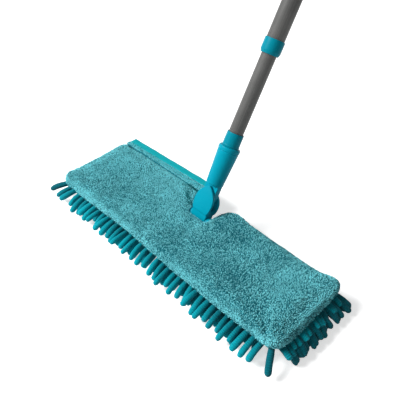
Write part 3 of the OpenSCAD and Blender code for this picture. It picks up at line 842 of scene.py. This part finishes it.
# %% [markdown]
# ## The hem of the opening
#
# The left half of the cover's rear edge is the pocket's opening. A strip of the same terry is sewn on
# there in a seam, widens towards the notch and hangs a little over the edge. It is a slab of that
# outline, remeshed and given the same loops, only shorter. A narrow crease is left at the seam.

# %% Hem strip
HEM = [*HEM_EDGE.items(), (HEM_RIGHT + 2, 76.4), (HEM_LEFT - 4, 68.0)]
hem = slab("hem_strip", eased(HEM, 2.5), 39.9, 44.0)
soften(hem, 1.6)
even_squares(hem, 2.7)
hem_loops = plant_loops(
    "hem_loops", hem, hem.data.polygons, girth=0.75, height=2.0, lift=0.22,
    keep=lambda spot, normal: normal.z > -0.1 and spot.z > 40 and past_seam(spot) > 1.6,
)
into_frame(hem_loops, terry, "mop_head", "terry")
ground_of_loops(hem)
into_frame(hem, terry, "mop_head", "terry", "opening_hem")

# %% [markdown]
# ## The folded tape
#
# A smooth woven tape binds the hem's raw edge: it comes out from under the strip, folds round and lies
# back on top. So it starts as a flat grid, whose rows are laid round the fold in steps, and is only then
# given the thickness of the cloth. It ripples slightly along its length.

# %% Binding tape
TAPE_MID, TAPE_HALF = 43.2, 1.0
TAPE_INNER, TAPE_OUTER = (67.5, 76.0), (80.2, 87.0)
FOLD = [(0, -1), (0.86, -1), (0.96, -0.6), (1.0, 0.0), (0.96, 0.6), (0.86, 1), (0, 1)]


def tape_ripple(x):
    return 0.55 * noise.noise(Vector((x / 17, 3.1, 0)))


deselect()
bpy.ops.mesh.primitive_grid_add(x_subdivisions=46, y_subdivisions=len(FOLD) - 1, size=1)
tape = named("binding_tape_fold")
for vertex in tape.data.vertices:
    share = vertex.co.x + 0.5
    out, up = FOLD[round((vertex.co.y + 0.5) * (len(FOLD) - 1))]
    inner, outer = (start + share * (end - start) for start, end in (TAPE_INNER, TAPE_OUTER))
    x = HEM_LEFT - 1.5 + share * (HEM_RIGHT - HEM_LEFT + 2)
    rippled = tape_ripple(x)
    y = inner + out * (outer - inner + 0.5 * rippled)
    vertex.co = Vector((x, y, TAPE_MID + up * TAPE_HALF + rippled)) * MM
with editing(tape):
    bpy.ops.mesh.normals_make_consistent(inside=False)
modify(tape, "SOLIDIFY", thickness=0.9 * MM, offset=0)
soften(tape, 0.25, segments=2)
smooth(tape, 50)
into_frame(tape, tape_cloth, "mop_head", "tape", "binding_tape")

# %% [markdown]
# ## Stitches
#
# A row of stitches along the tape holds the hem. One stitch is a short rounded rod, modelled once from
# a cylinder; every other stitch is a copy of it, laid along the row.

# %% Stitches
STITCH_R, STITCH_LONG, STITCH_STEP, STITCH_IN = 0.42, 3.0, 4.6, 3.2
deselect()
bpy.ops.mesh.primitive_cylinder_add(
    vertices=6, radius=STITCH_R * MM, depth=STITCH_LONG * MM, rotation=(0, math.pi / 2, 0))
stitches = named("hem_stitches")
settle(stitches)
with editing(stitches):
    pick(stitches, "faces", lambda face: abs(face.normal.x) > 0.9)
    bpy.ops.mesh.inset(thickness=0.18 * MM)
    bpy.ops.transform.resize(value=(1.25, 1, 1))
one_stitch = shape_of(stitches)


def along_hem(start, pitch):
    """Even steps along the hem: the number of each, where it is and its share of the way."""
    for step in range(int((HEM_RIGHT - HEM_LEFT - 6) / pitch)):
        x = HEM_LEFT + start + step * pitch
        yield step, x, (x - HEM_LEFT) / (HEM_RIGHT - HEM_LEFT)


widening = TAPE_INNER[1] - TAPE_INNER[0]
slope = Matrix.Rotation(math.atan2(widening, HEM_RIGHT - HEM_LEFT), 4, "Z")
rows = []
for step, x, share in along_hem(4, STITCH_STEP):
    y = TAPE_INNER[0] + share * widening + STITCH_IN
    on_tape = Vector((x, y, TAPE_MID + TAPE_HALF + 0.55 + tape_ripple(x))) * MM
    rows.append(Matrix.Translation(on_tape) @ slope)
repeat(stitches, one_stitch, rows)
smooth(stitches, 60)
into_frame(stitches, thread, "mop_head", "tape")

# %% [markdown]
# Pale thread is sewn over the hem in a zigzag, which makes the whole strip look lighter. Its stitches
# are copies of the same rod, made longer and turned to and fro, with some chance in each.

# %% Zigzag
ZIG_STEP, ZIG_LONG, ZIG_TURN = 2.3, 1.7, math.radians(55)
ZIG_Y, ZIG_WIDENS, ZIG_Z = 65.6, 2.4, 45.9
deselect()
bpy.ops.mesh.primitive_plane_add(size=1 * MM)
zigzag = named("hem_zigzag")
chance = np.random.default_rng(7)
turns = []
for step, x, share in along_hem(3, ZIG_STEP):
    y = ZIG_Y + ZIG_WIDENS * share + chance.uniform(-1.1, 1.1)
    angle = (ZIG_TURN if step % 2 else -ZIG_TURN) + chance.uniform(-0.4, 0.4)
    lay = Matrix.Translation(Vector((x, y, ZIG_Z + chance.uniform(-0.6, 0.6))) * MM)
    turns.append(lay @ Matrix.Rotation(angle, 4, "Z") @ Matrix.Diagonal((ZIG_LONG, 1, 1, 1)))
repeat(zigzag, one_stitch, turns)
smooth(zigzag, 60)
into_frame(zigzag, pale_thread, "mop_head", "tape")

# %% [markdown]
# Where the hem ends at the notch, an overlock seam leaves two trails of small dark thread loops. One
# loop is a thin ring, made from a torus and pulled oval. Its copies lie on the terry in uneven rows.

# %% Overlock loops
RING_R, RING_THIN, RINGS_IN_TRAIL, RING_LIFT = 1.9, 0.36, 14, 2.5
TRAILS = [
    [(-60, 56), (-50, 58), (-40, 59), (-32, 58), (-25, 55)],
    [(-50, 48), (-43, 43), (-37, 38), (-30, 34), (-22, 33)],
]
deselect()
bpy.ops.mesh.primitive_torus_add(
    major_segments=12, minor_segments=4, major_radius=RING_R * MM, minor_radius=RING_THIN * MM)
overlock = named("overlock_loops")
with editing(overlock):
    bpy.ops.transform.resize(value=(1.35, 0.9, 1.0))
one_ring = shape_of(overlock)
surface = points_of(pad) / MM
spots = []
for trail in TRAILS:
    for along in np.linspace(0, len(trail) - 1, RINGS_IN_TRAIL):
        x, y = (np.interp(along, range(len(trail)), values) for values in zip(*trail))
        x, y = x + chance.uniform(-2.0, 2.0), y + chance.uniform(-2.4, 2.4)
        near = surface[np.hypot(surface[:, 0] - x, surface[:, 1] - y) < 3.5]
        spot = Matrix.Translation(Vector((x, y, near[:, 2].max() + RING_LIFT)) * MM)
        tilt = Matrix.Rotation(chance.uniform(-0.5, 0.5), 4, "X")
        spots.append(spot @ (tilt @ Matrix.Rotation(chance.uniform(0, 3.1), 4, "Z")))
repeat(overlock, one_ring, spots)
smooth(overlock, 80)
into_frame(overlock, dark_thread, "mop_head", "tape")

# %% [markdown]
# ## Grip tape and notch facing
#
# Under the hem lies the narrow grip tape that closes the pocket, and round the notch a woven patch
# covers the finger side. Both are flat trims with eased edges and a coarse weave, so a strip and a
# block with a notch cut out of it are enough.

# %% Grip tape
GRIP_TAPE = [(HEM_LEFT, 66.6), (HEM_RIGHT, 71.1), (HEM_RIGHT, 77.9), (HEM_LEFT, 69.9)]
grip_tape = slab("grip_tape_strip", GRIP_TAPE, 38.4, HEM_FLOOR)
soften(grip_tape, 0.4, segments=2)
smooth(grip_tape)
into_frame(grip_tape, hook_cloth, "mop_head", "grip_tape", "hem_grip_tape")

# %% Notch facing
BAY_HALF, BAY_FRONT, BAY_CORNER = 22.8, 18.7, 4
low, high = (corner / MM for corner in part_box("notch_facing"))
facing = block("notch_panel", low + Vector((0.2, 0.2, 0.3)), high - Vector((0.2, 0.2, 0.2)))
bay = block("bay_cutter", (-BAY_HALF, BAY_FRONT, 0), (BAY_HALF, FAR_REAR, FAR_UP))
with editing(bay):
    pick(bay, "edges", lambda edge: upright(edge) and edge.verts[0].co.y < (BAY_FRONT + 1) * MM)
    bpy.ops.mesh.bevel(offset=BAY_CORNER * MM, segments=4, affect="EDGES")
combine(facing, bay, "DIFFERENCE")
soften(facing, 0.6, segments=2)
smooth(facing)
into_frame(facing, backing_cloth, "mop_head", "chenille", "notch_facing")

# %% [markdown]
# ## The chenille fingers
#
# Nearly four hundred soft fingers hang from the lower side, each as thick as a pencil. Hair or particles
# could make them, but these would not export as a mesh. So one finger is modelled from a cylinder, cut
# into rings and rounded at its tip, and every other finger is a copy that is bent along its own curve.

# %% One finger
RINGS = [0.0, 0.16, 0.34, 0.52, 0.70, 0.84, 0.92, 0.97, 1.0]
GIRTH = [0.78, 0.92, 1.0, 1.03, 1.05, 1.05, 1.0, 0.78, 0.38]
deselect()
bpy.ops.mesh.primitive_cylinder_add(vertices=8, radius=1, depth=1, location=(0, 0, 0.5))
finger = named("one_finger")
settle(finger)
with editing(finger):
    for height in RINGS[1:-1]:
        bpy.ops.mesh.select_all(action="SELECT")
        bpy.ops.mesh.bisect(plane_co=(0, 0, height), plane_no=(0, 0, 1))
for vertex in finger.data.vertices:
    girth = np.interp(vertex.co.z, RINGS, GIRTH)
    vertex.co.x, vertex.co.y = vertex.co.x * girth, vertex.co.y * girth
finger_points, finger_faces = shape_of(finger)
describe(finger)
discard(finger)

# %% [markdown]
# A finger's curve has three points: its root in the backing, a knee and its tip. Fingers in the middle
# hang straight down to the floor. The front rows come out from under the terry and arc down, the rows
# behind them fill the gaps below, and those at the ends droop over the end, with the corners fanned.


# %% Bending fingers
def unit(vectors):
    return vectors / np.linalg.norm(vectors, axis=-1, keepdims=True)


def bent(root, knee, tip, radius):
    root, knee, tip = (np.array(point, float) for point in (root, knee, tip))
    t = finger_points[:, 2:3]
    centre = root * (1 - t) ** 2 + knee * 2 * t * (1 - t) + tip * t**2
    run = unit((knee - root) * (1 - t) + (tip - knee) * t)
    side = np.cross(knee - root, tip - knee)
    side = unit(side) if np.linalg.norm(side) > 1e-3 else np.array((1.0, 0, 0))
    side = unit(side - run * (run @ side)[:, None])
    out = np.cross(run, side)
    return centre + radius * (finger_points[:, 0:1] * side + finger_points[:, 1:2] * out)


# %% Where fingers go
ROOT_Z, FLOOR_Z = 26.2, 1.3
LEAN_AT, LEANS = [-196, -184, -173, -120, 60], [-23, -19, -9, -3, 0]


def nap_lean(x):
    """Sideways lean of the front fingers: in clumps, and towards the left end."""
    return np.interp(x, LEAN_AT, LEANS) + 6 * noise.noise(Vector((x / 17, 7.7, 0)))


def finger_curve(x, y, row, from_end, side, loose):
    """Knee and tip of a finger, by its row from the front and its column from the end."""
    sway_x, sway_y, sway_z = loose
    lean = nap_lean(x)
    if row == 0 and from_end == 0:
        reach = 17 if side > 0 else 29
        return (x + side * 0.5 * reach, y - 15, 25), (x + side * reach, y - 27, 11)
    if row == 0:
        tip = (x + lean + 3.5 * sway_x, y - 31 + 4 * sway_y, 12 + 4 * sway_z)
        return (x + 0.4 * lean + sway_x, y - 19, 25.5), tip
    if from_end == 0:
        tip = (x + side * 22 + 2 * sway_x, y + 2 * sway_y, 18 + 2.5 * sway_z)
        return (x + side * 14, y + sway_y, 26.5), tip
    if from_end == 1:
        return (x + side * 20, y, 16), (x + side * 35 + 2 * sway_x, y + 4 * sway_y, 4 + sway_z)
    if row == 1:
        tip = (x + lean + 5 * sway_x, y - 36 + 4 * sway_y, 6.5 + 2 * sway_z)
        return (x + 0.4 * lean, y - 22, 23), tip
    if row == 2:
        return (x, y - 20, 17), (x + 0.5 * lean + 4 * sway_x, y - 35 + 4 * sway_y, 3.5)
    if row == 3:
        return (x, y - 12, 13), (x + 3 * sway_x, y - 17 + 3 * sway_y, FLOOR_Z)
    return (x + 2 * sway_x, y + 2 * sway_y, 13), (x + 3 * sway_x, y + 3 * sway_y, FLOOR_Z)


LAYERS = [(13, 25, 21, 20), (19, 24, 29, 8), (14, 17, 26, 3), (19, 24, 29, 8)]


def end_curve(x, y, side, layer, loose):
    """Knee and tip in the extra rows that fill an end, from the level ones down to the floor."""
    sway_x, sway_y, sway_z = loose
    knee_out, knee_z, tip_out, tip_z = LAYERS[layer]
    fan = np.interp(y, [20, 60], [0, 14])
    return ((x + side * knee_out, y + 2 * sway_y + 0.4 * fan, knee_z + sway_z),
            (x + side * (tip_out + 3 * sway_x), y + 5 * sway_y + fan, tip_z + 2 * sway_z))


# %% [markdown]
# The three mats keep the CAD's rows and columns. Each gets its woven backing, a block that holds the
# roots, and rides as one piece. Fingers are painted dark at the root and lighter at the tip, as shade.
# Those that lie under others at the ends get more painted shade, and so do the fingers towards the right.

# %% Rows and tones
FINGER_R, COIL_PITCH, ROUGH = 3.95, 2.6, 0.13
END_IN, NO_END = 4, 9


def mat_curves(x0, x1, columns, y0, y1, rows, side, chance):
    pitch_x, pitch_y = (x1 - x0) / columns, (y1 - y0) / rows
    curves = []
    for column in range(columns):
        from_end = {-1: column, 0: NO_END, 1: columns - 1 - column}[side]
        for row in range(rows):
            x, y = x0 + (column + 0.5) * pitch_x, y0 + (row + 0.5) * pitch_y
            bend = finger_curve(x, y, row, from_end, side, chance.uniform(-1, 1, 3))
            curves.append(((x, y, ROOT_Z), *bend))
    for row in range(1, rows if side else 0):
        for layer in range(len(LAYERS)):
            x = x0 + END_IN if side < 0 else x1 - END_IN
            y = y0 + (row + layer / len(LAYERS)) * pitch_y
            curves.append(((x, y, ROOT_Z), *end_curve(x, y, side, layer, chance.uniform(-1, 1, 3))))
    return curves


def finger_rise(tip, side, chance):
    # Painted shade: darker at the root, under the terry at the ends, and towards the right.
    under = np.interp(side * tip[0], [205, 225], [0.0, 0.5]) * np.interp(tip[2], [12, 20], [1.0, 0.1])
    painted_shade = 0.18 * np.interp(tip[0], [30, 150, 205, 225], [0.0, 1.0, 1.0, 0.0])
    level = 0.1 - under - painted_shade + (0.75 - under) * finger_points[:, 2]
    return np.clip(level + chance.uniform(-0.15, 0.15), 0, 1)


# %% Three mats
MATS = {
    "left": (-210.5, -31.0, 17, -61.0, 61.0, 9, -1),
    "centre": (-30.7, 30.7, 5, -61.0, 6.78, 5, 0),
    "right": (31.0, 210.5, 17, -61.0, 61.0, 9, 1),
}
BACKING_LOW, BACKING_TOP, BACKING_IN = 25.2, 27.3, 0.2
chance = np.random.default_rng(11)
for where, (x0, x1, columns, y0, y1, rows, side) in MATS.items():
    fingers, rise, coil = [], [], []
    for root, knee, tip in mat_curves(x0, x1, columns, y0, y1, rows, side, chance):
        shape = bent(root, knee, tip, FINGER_R * chance.uniform(0.86, 1.1))
        fingers.append(shape + chance.normal(0, ROUGH, shape.shape))
        rise.append(finger_rise(tip, side, chance))
        run = math.dist(root, knee) + math.dist(knee, tip)
        coil.append(finger_points[:, 2] * run * math.tau / COIL_PITCH)
    mat = grown("fingers_" + where, fingers, finger_faces, rise=rise, coil=coil)
    dress(mat, chenille)
    backing = block("backing", (x0 + BACKING_IN, y0 + BACKING_IN, BACKING_LOW),
                    (x1 - BACKING_IN, y1 - BACKING_IN, BACKING_TOP))
    soften(backing, 0.6, segments=2)
    dress(backing, backing_cloth)
    only(mat)
    backing.select_set(True)
    bpy.ops.object.join()
    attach(mat, "mop_head")
    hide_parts("chenille_" + where)
    describe(mat)

# %% [markdown]
# ## The fork
#
# The fork is one moulded piece: a barrel on the hinge, a foot, and two shield-shaped cheeks that hold
# the pole's tongue. The outline of a cheek is drawn once, as half of a shield, and used for both: the
# rear one is a little lower. The bevelled parts are then joined into one skin.

# %% Shield outline
FOOT_HALF, FOOT_AT, TIP_AT = 14.0, 10.5, 53.0
SHIELD_SIDE = [(FOOT_HALF, FOOT_AT), (16.2, 18), (16.9, 27), (15.6, 35), (12.2, 41.5), (7.2, 47.2)]


def shield(width, tip):
    """Outline of a cheek: it widens from its foot to its belly, then closes to a tip."""
    stretch = (tip - FOOT_AT) / (TIP_AT - FOOT_AT)
    side = [(width * x, FOOT_AT + stretch * (height - FOOT_AT)) for x, height in SHIELD_SIDE]
    return eased(side + [(0, tip)] + [(-x, height) for x, height in reversed(side)], 3.0)


print(len(shield(1, TIP_AT)), "points round a cheek")

# %% Fork
CHEEK_IN, CHEEK_OUT, CHEEK_EDGE, REAR_TIP_AT = 5.4, 9.8, 1.1, 46.5
FOOT_DEEP, FOOT_TOP, BARREL_R, BARREL_HALF = 8.0, 17.1, 7.5, 19.6
fork = plate("hinge_fork", shield(1.0, TIP_AT), -CHEEK_OUT, -CHEEK_IN, CHEEK_EDGE)
combine(fork, plate("rear_cheek", shield(1.03, REAR_TIP_AT), CHEEK_IN, CHEEK_OUT, CHEEK_EDGE))
foot = block("foot", (-FOOT_HALF, -FOOT_DEEP, 0), (FOOT_HALF, FOOT_DEEP, FOOT_TOP))
soften(foot, 1.2)
combine(fork, foot)
combine(fork, crosswise("barrel", BARREL_R, BARREL_HALF, 0, 0.9))
onto_pole(fork, turquoise, "yoke", "plastic", "yoke", angle=35)

# %% [markdown]
# ## The socket and its ferrule
#
# A tapered socket takes the tube. It is round, so its half outline is spun about the pole: a cone that
# widens upwards to a ring with a groove under it and a bevelled lip. Its flat tongue, a plate with a
# round end, reaches down between the cheeks. The ferrule is a second turned ring that steps in from
# the lip to the tube.

# %% Socket
CONE_LOW, CONE_LOW_R, RING_LOW, SOCKET_TOP, SOCKET_R = 55.6, 12.7, 107.0, 113.4, 15.8
MOUTH_R, MOUTH_DEEP, GROOVE = 11.0, 6, 0.9
SWING_AT, TONGUE_HALF, TONGUE_DEEP = 29.0, 11.5, 5.0
profile = eased([
    (0, CONE_LOW), (CONE_LOW_R, CONE_LOW), (SOCKET_R - 0.35, RING_LOW - 0.8),
    (SOCKET_R - GROOVE, RING_LOW - 0.4), (SOCKET_R - GROOVE, RING_LOW), (SOCKET_R, RING_LOW + 0.4),
    (SOCKET_R, SOCKET_TOP - 1.6), (SOCKET_R - 1.0, SOCKET_TOP), (MOUTH_R, SOCKET_TOP),
    (MOUTH_R, SOCKET_TOP - MOUTH_DEEP), (0, SOCKET_TOP - MOUTH_DEEP),
], 0.7, closed=False)
socket = turned("socket_cone", profile, ring=False)
round_end = [(TONGUE_HALF * math.sin(a), SWING_AT - TONGUE_HALF * math.cos(a))
             for a in np.linspace(-math.pi / 2, math.pi / 2, 19)]
tongue = round_end + [(TONGUE_HALF, CONE_LOW + 6), (-TONGUE_HALF, CONE_LOW + 6)]
combine(socket, plate("tongue", tongue, -TONGUE_DEEP, TONGUE_DEEP, 0.7))
onto_pole(socket, turquoise, "lower_pole", "plastic", "pole_socket")

# %% Ferrule
FERRULE_TOP, FERRULE_R, SPIGOT_R = 134.0, 12.6, 10.9
TUBE_R, TUBE_IN, SLIP, COUNTERBORE = 10.5, 9.7, 0.05, 2.5
profile = eased([
    (TUBE_R + SLIP, SOCKET_TOP - 4), (SPIGOT_R, SOCKET_TOP - 4), (SPIGOT_R, SOCKET_TOP + 0.1),
    (FERRULE_R, SOCKET_TOP + 0.1), (FERRULE_R, SOCKET_TOP + 2.4), (FERRULE_R - 0.35, SOCKET_TOP + 2.9),
    (FERRULE_R - 0.5, FERRULE_TOP - 1.0), (FERRULE_R - 0.8, FERRULE_TOP), (TUBE_R + 0.9, FERRULE_TOP),
    (TUBE_R + 0.9, FERRULE_TOP - COUNTERBORE), (TUBE_R + SLIP, FERRULE_TOP - COUNTERBORE),
], 0.3)
ferrule = turned("ferrule_ring", profile)
onto_pole(ferrule, shade_painted_ring_plastic, "lower_pole", "plastic", "ferrule")

# %% [markdown]
# ## Tubes and lock collar
#
# Two drawn tubes slide in each other. Each is a turned ring with eased rims, so its ends show a wall.
# The collar that turns the lock is a short turned ring with a bevel at its lower end.

# %% Tubes
THIN = (75.4, 675.4)
THICK, THICK_R, THICK_IN = (247.4, 847.4), 12.5, 11.6
for name, node, body, (low, high), outer, inner in (
    ("thin_tube", "lower_tube", "lower_pole", THIN, TUBE_R, TUBE_IN),
    ("thick_tube", "upper_tube", "upper_pole", THICK, THICK_R, THICK_IN),
):
    tube = turned(name, eased([(inner, low), (outer, low), (outer, high), (inner, high)], 0.3, steps=2))
    onto_pole(tube, grey_tube, body, "tube", node)

# %% Lock collar
COLLAR_LOW, COLLAR_TOP, COLLAR_R, TIGHT = 245.4, 265.4, 13.9, 0.02
profile = eased([
    (TUBE_R + 0.3, COLLAR_LOW), (COLLAR_R - 1.6, COLLAR_LOW), (COLLAR_R, COLLAR_LOW + 4.2),
    (COLLAR_R, COLLAR_TOP), (THICK_R + 0.8, COLLAR_TOP), (THICK_R + 0.7, COLLAR_TOP - 2),
    (THICK_R + TIGHT, COLLAR_TOP - 2.2), (THICK_R + TIGHT, THICK[0]), (TUBE_R + 0.3, THICK[0]),
], 0.5)
collar = turned("twist_collar", profile)
onto_pole(collar, shade_painted_ring_plastic, "upper_pole", "plastic", "lock_collar")

# %% [markdown]
# ## Grip and end cap
#
# The top of the pole is outside the picture, so its grip follows common mops: a ribbed sleeve and a cap
# with an eye to hang it by. The grooves are drawn into the sleeve's profile. The eye is a tab with a
# hole bored across it.

# %% Ribbed grip
GRIP_LOW, GRIP_TOP, GRIP_R, GROOVES = 729.4, 847.4, 15.0, 7
GROOVE_SIDE = [(0, -1.5), (-0.9, -0.9), (-0.9, 0.9), (0, 1.5)]
outline = [(THICK_R + TIGHT, GRIP_LOW), (GRIP_R - 0.6, GRIP_LOW), (GRIP_R, GRIP_LOW + 1.2)]
for groove in range(1, GROOVES + 1):
    middle = GRIP_LOW + groove * (GRIP_TOP - GRIP_LOW) / (GROOVES + 1)
    outline += [(GRIP_R + radius, middle + height) for radius, height in GROOVE_SIDE]
outline += [(GRIP_R, GRIP_TOP - 0.4), (GRIP_R - 0.4, GRIP_TOP), (THICK_R + TIGHT, GRIP_TOP)]
grip = turned("ribbed_grip", eased(outline, 0.4, steps=2))
onto_pole(grip, grip_plastic, "upper_pole", "grip", "hand_grip")

# %% End cap
CAP_TOP, EYE_AT, EYE_R, TAB_R, TAB_HALF = 861.2, 866.4, 5.0, 9.0, 4.0
PLUG_R, PLUG_LOW, BRIM_AT, CROWN = THICK_IN - 0.1, GRIP_TOP - 12, GRIP_TOP + 0.1, 4
profile = eased([
    (0, PLUG_LOW), (PLUG_R, PLUG_LOW), (PLUG_R, BRIM_AT), (GRIP_R, BRIM_AT),
    (GRIP_R, CAP_TOP - CROWN), (GRIP_R - CROWN, CAP_TOP), (0, CAP_TOP),
], 1.2, closed=False)
cap = turned("eye_cap", profile, ring=False)
tab = crosswise("tab", TAB_R, TAB_HALF, EYE_AT, 1.0)
combine(tab, crosswise("eye_drill", EYE_R, 3 * TAB_HALF, EYE_AT, 0.1), "DIFFERENCE")
combine(cap, tab)
onto_pole(cap, grip_plastic, "upper_pole", "grip", "end_cap")

# %% [markdown]
# ## Pieces that stay as they are
#
# The board, the pins and the lock inside the tubes hardly show, and their CAD shapes are right. They
# keep their meshes and only get their finishes.

# %% Kept nodes
KEPT = {
    "frame_board": board_plastic, "hinge_axle": steel, "swing_pin": steel, "tube_rivet": steel,
    "lock_stem": dark_plastic, "lock_keeper": dark_plastic, "lock_sleeve": pale_plastic,
    "collar_bush": pale_plastic,
}
for node, material in KEPT.items():
    dress(frame["nodes"][node], material)
print(len(KEPT), "nodes kept")

# %% [markdown]
# ## Studio
#
# One large soft lamp stands high on the left, as in the photo, with a very weak one in front. The floor
# is pale and keeps the mop's shadow. To the camera and in reflections the world is plain white, and all
# other light comes from a dimmer sky, so that the white background doesn't wash out the mop.


# %% Floor
def seen(tree):
    """1 where the camera looks, straight, in a reflection or through glass, and 0 for other light."""
    path = add(tree, "LightPath")
    direct = calculate("MAXIMUM", path.outputs["Is Camera Ray"], path.outputs["Is Glossy Ray"])
    return calculate("MAXIMUM", direct, path.outputs["Is Transmission Ray"])


FLOOR_SIZE, FLOOR_GLOW = 12, 0.6
deselect()
bpy.ops.mesh.primitive_plane_add(size=FLOOR_SIZE, location=(0, 0, 0))
floor = named("studio_floor")
pale = bpy.data.materials.new("studio floor")
pale.use_nodes = True
tree = pale.node_tree
shader = tree.nodes["Principled BSDF"]
shader.inputs["Base Color"].default_value = colour(0.8, 0.8, 0.8)
shader.inputs["Roughness"].default_value = 0.9
shader.inputs["Specular IOR Level"].default_value = 0.0
shader.inputs["Emission Color"].default_value = WHITE
feed(calculate("MULTIPLY", seen(tree), FLOOR_GLOW), shader.inputs["Emission Strength"])
dress(floor, pale)
print(floor.name, FLOOR_SIZE, "m wide")

# %% World
SKY_LIGHT, SKY_SEEN = 0.17, 1.0
world = bpy.data.worlds.new("studio")
scene.world = world
world.use_nodes = True
tree = world.node_tree
sky = tree.nodes["Background"]
sky.inputs["Color"].default_value = WHITE
feed(remap(seen(tree), 0, 1, SKY_LIGHT, SKY_SEEN), sky.inputs["Strength"])
print("sky lights at", SKY_LIGHT, "and is seen at", SKY_SEEN)

# %% Lamps
LAMPS_AIM = Vector((0, 0, 0.1))


def lamp(name, place_of_lamp, size, power):
    aim = (LAMPS_AIM - Vector(place_of_lamp)).to_track_quat("-Z", "Y").to_euler()
    deselect()
    bpy.ops.object.light_add(type="AREA", location=place_of_lamp, rotation=aim)
    light = named(name)
    light.data.size = size
    light.data.energy = power
    print(name, power, "W")


lamp("key_lamp", (-3.2, -3.2, 4.4), size=2.4, power=565)
lamp("fill_lamp", (0.6, -1.4, 1.2), size=1.2, power=1.0)
scene.view_settings.view_transform = "Standard"

# %% [markdown]
# ## End
#
# Cloth may stand a little proud of its solid, but the mop must not grow. At the end the view layer is
# updated once more.

# %% Close
bpy.context.view_layer.update()
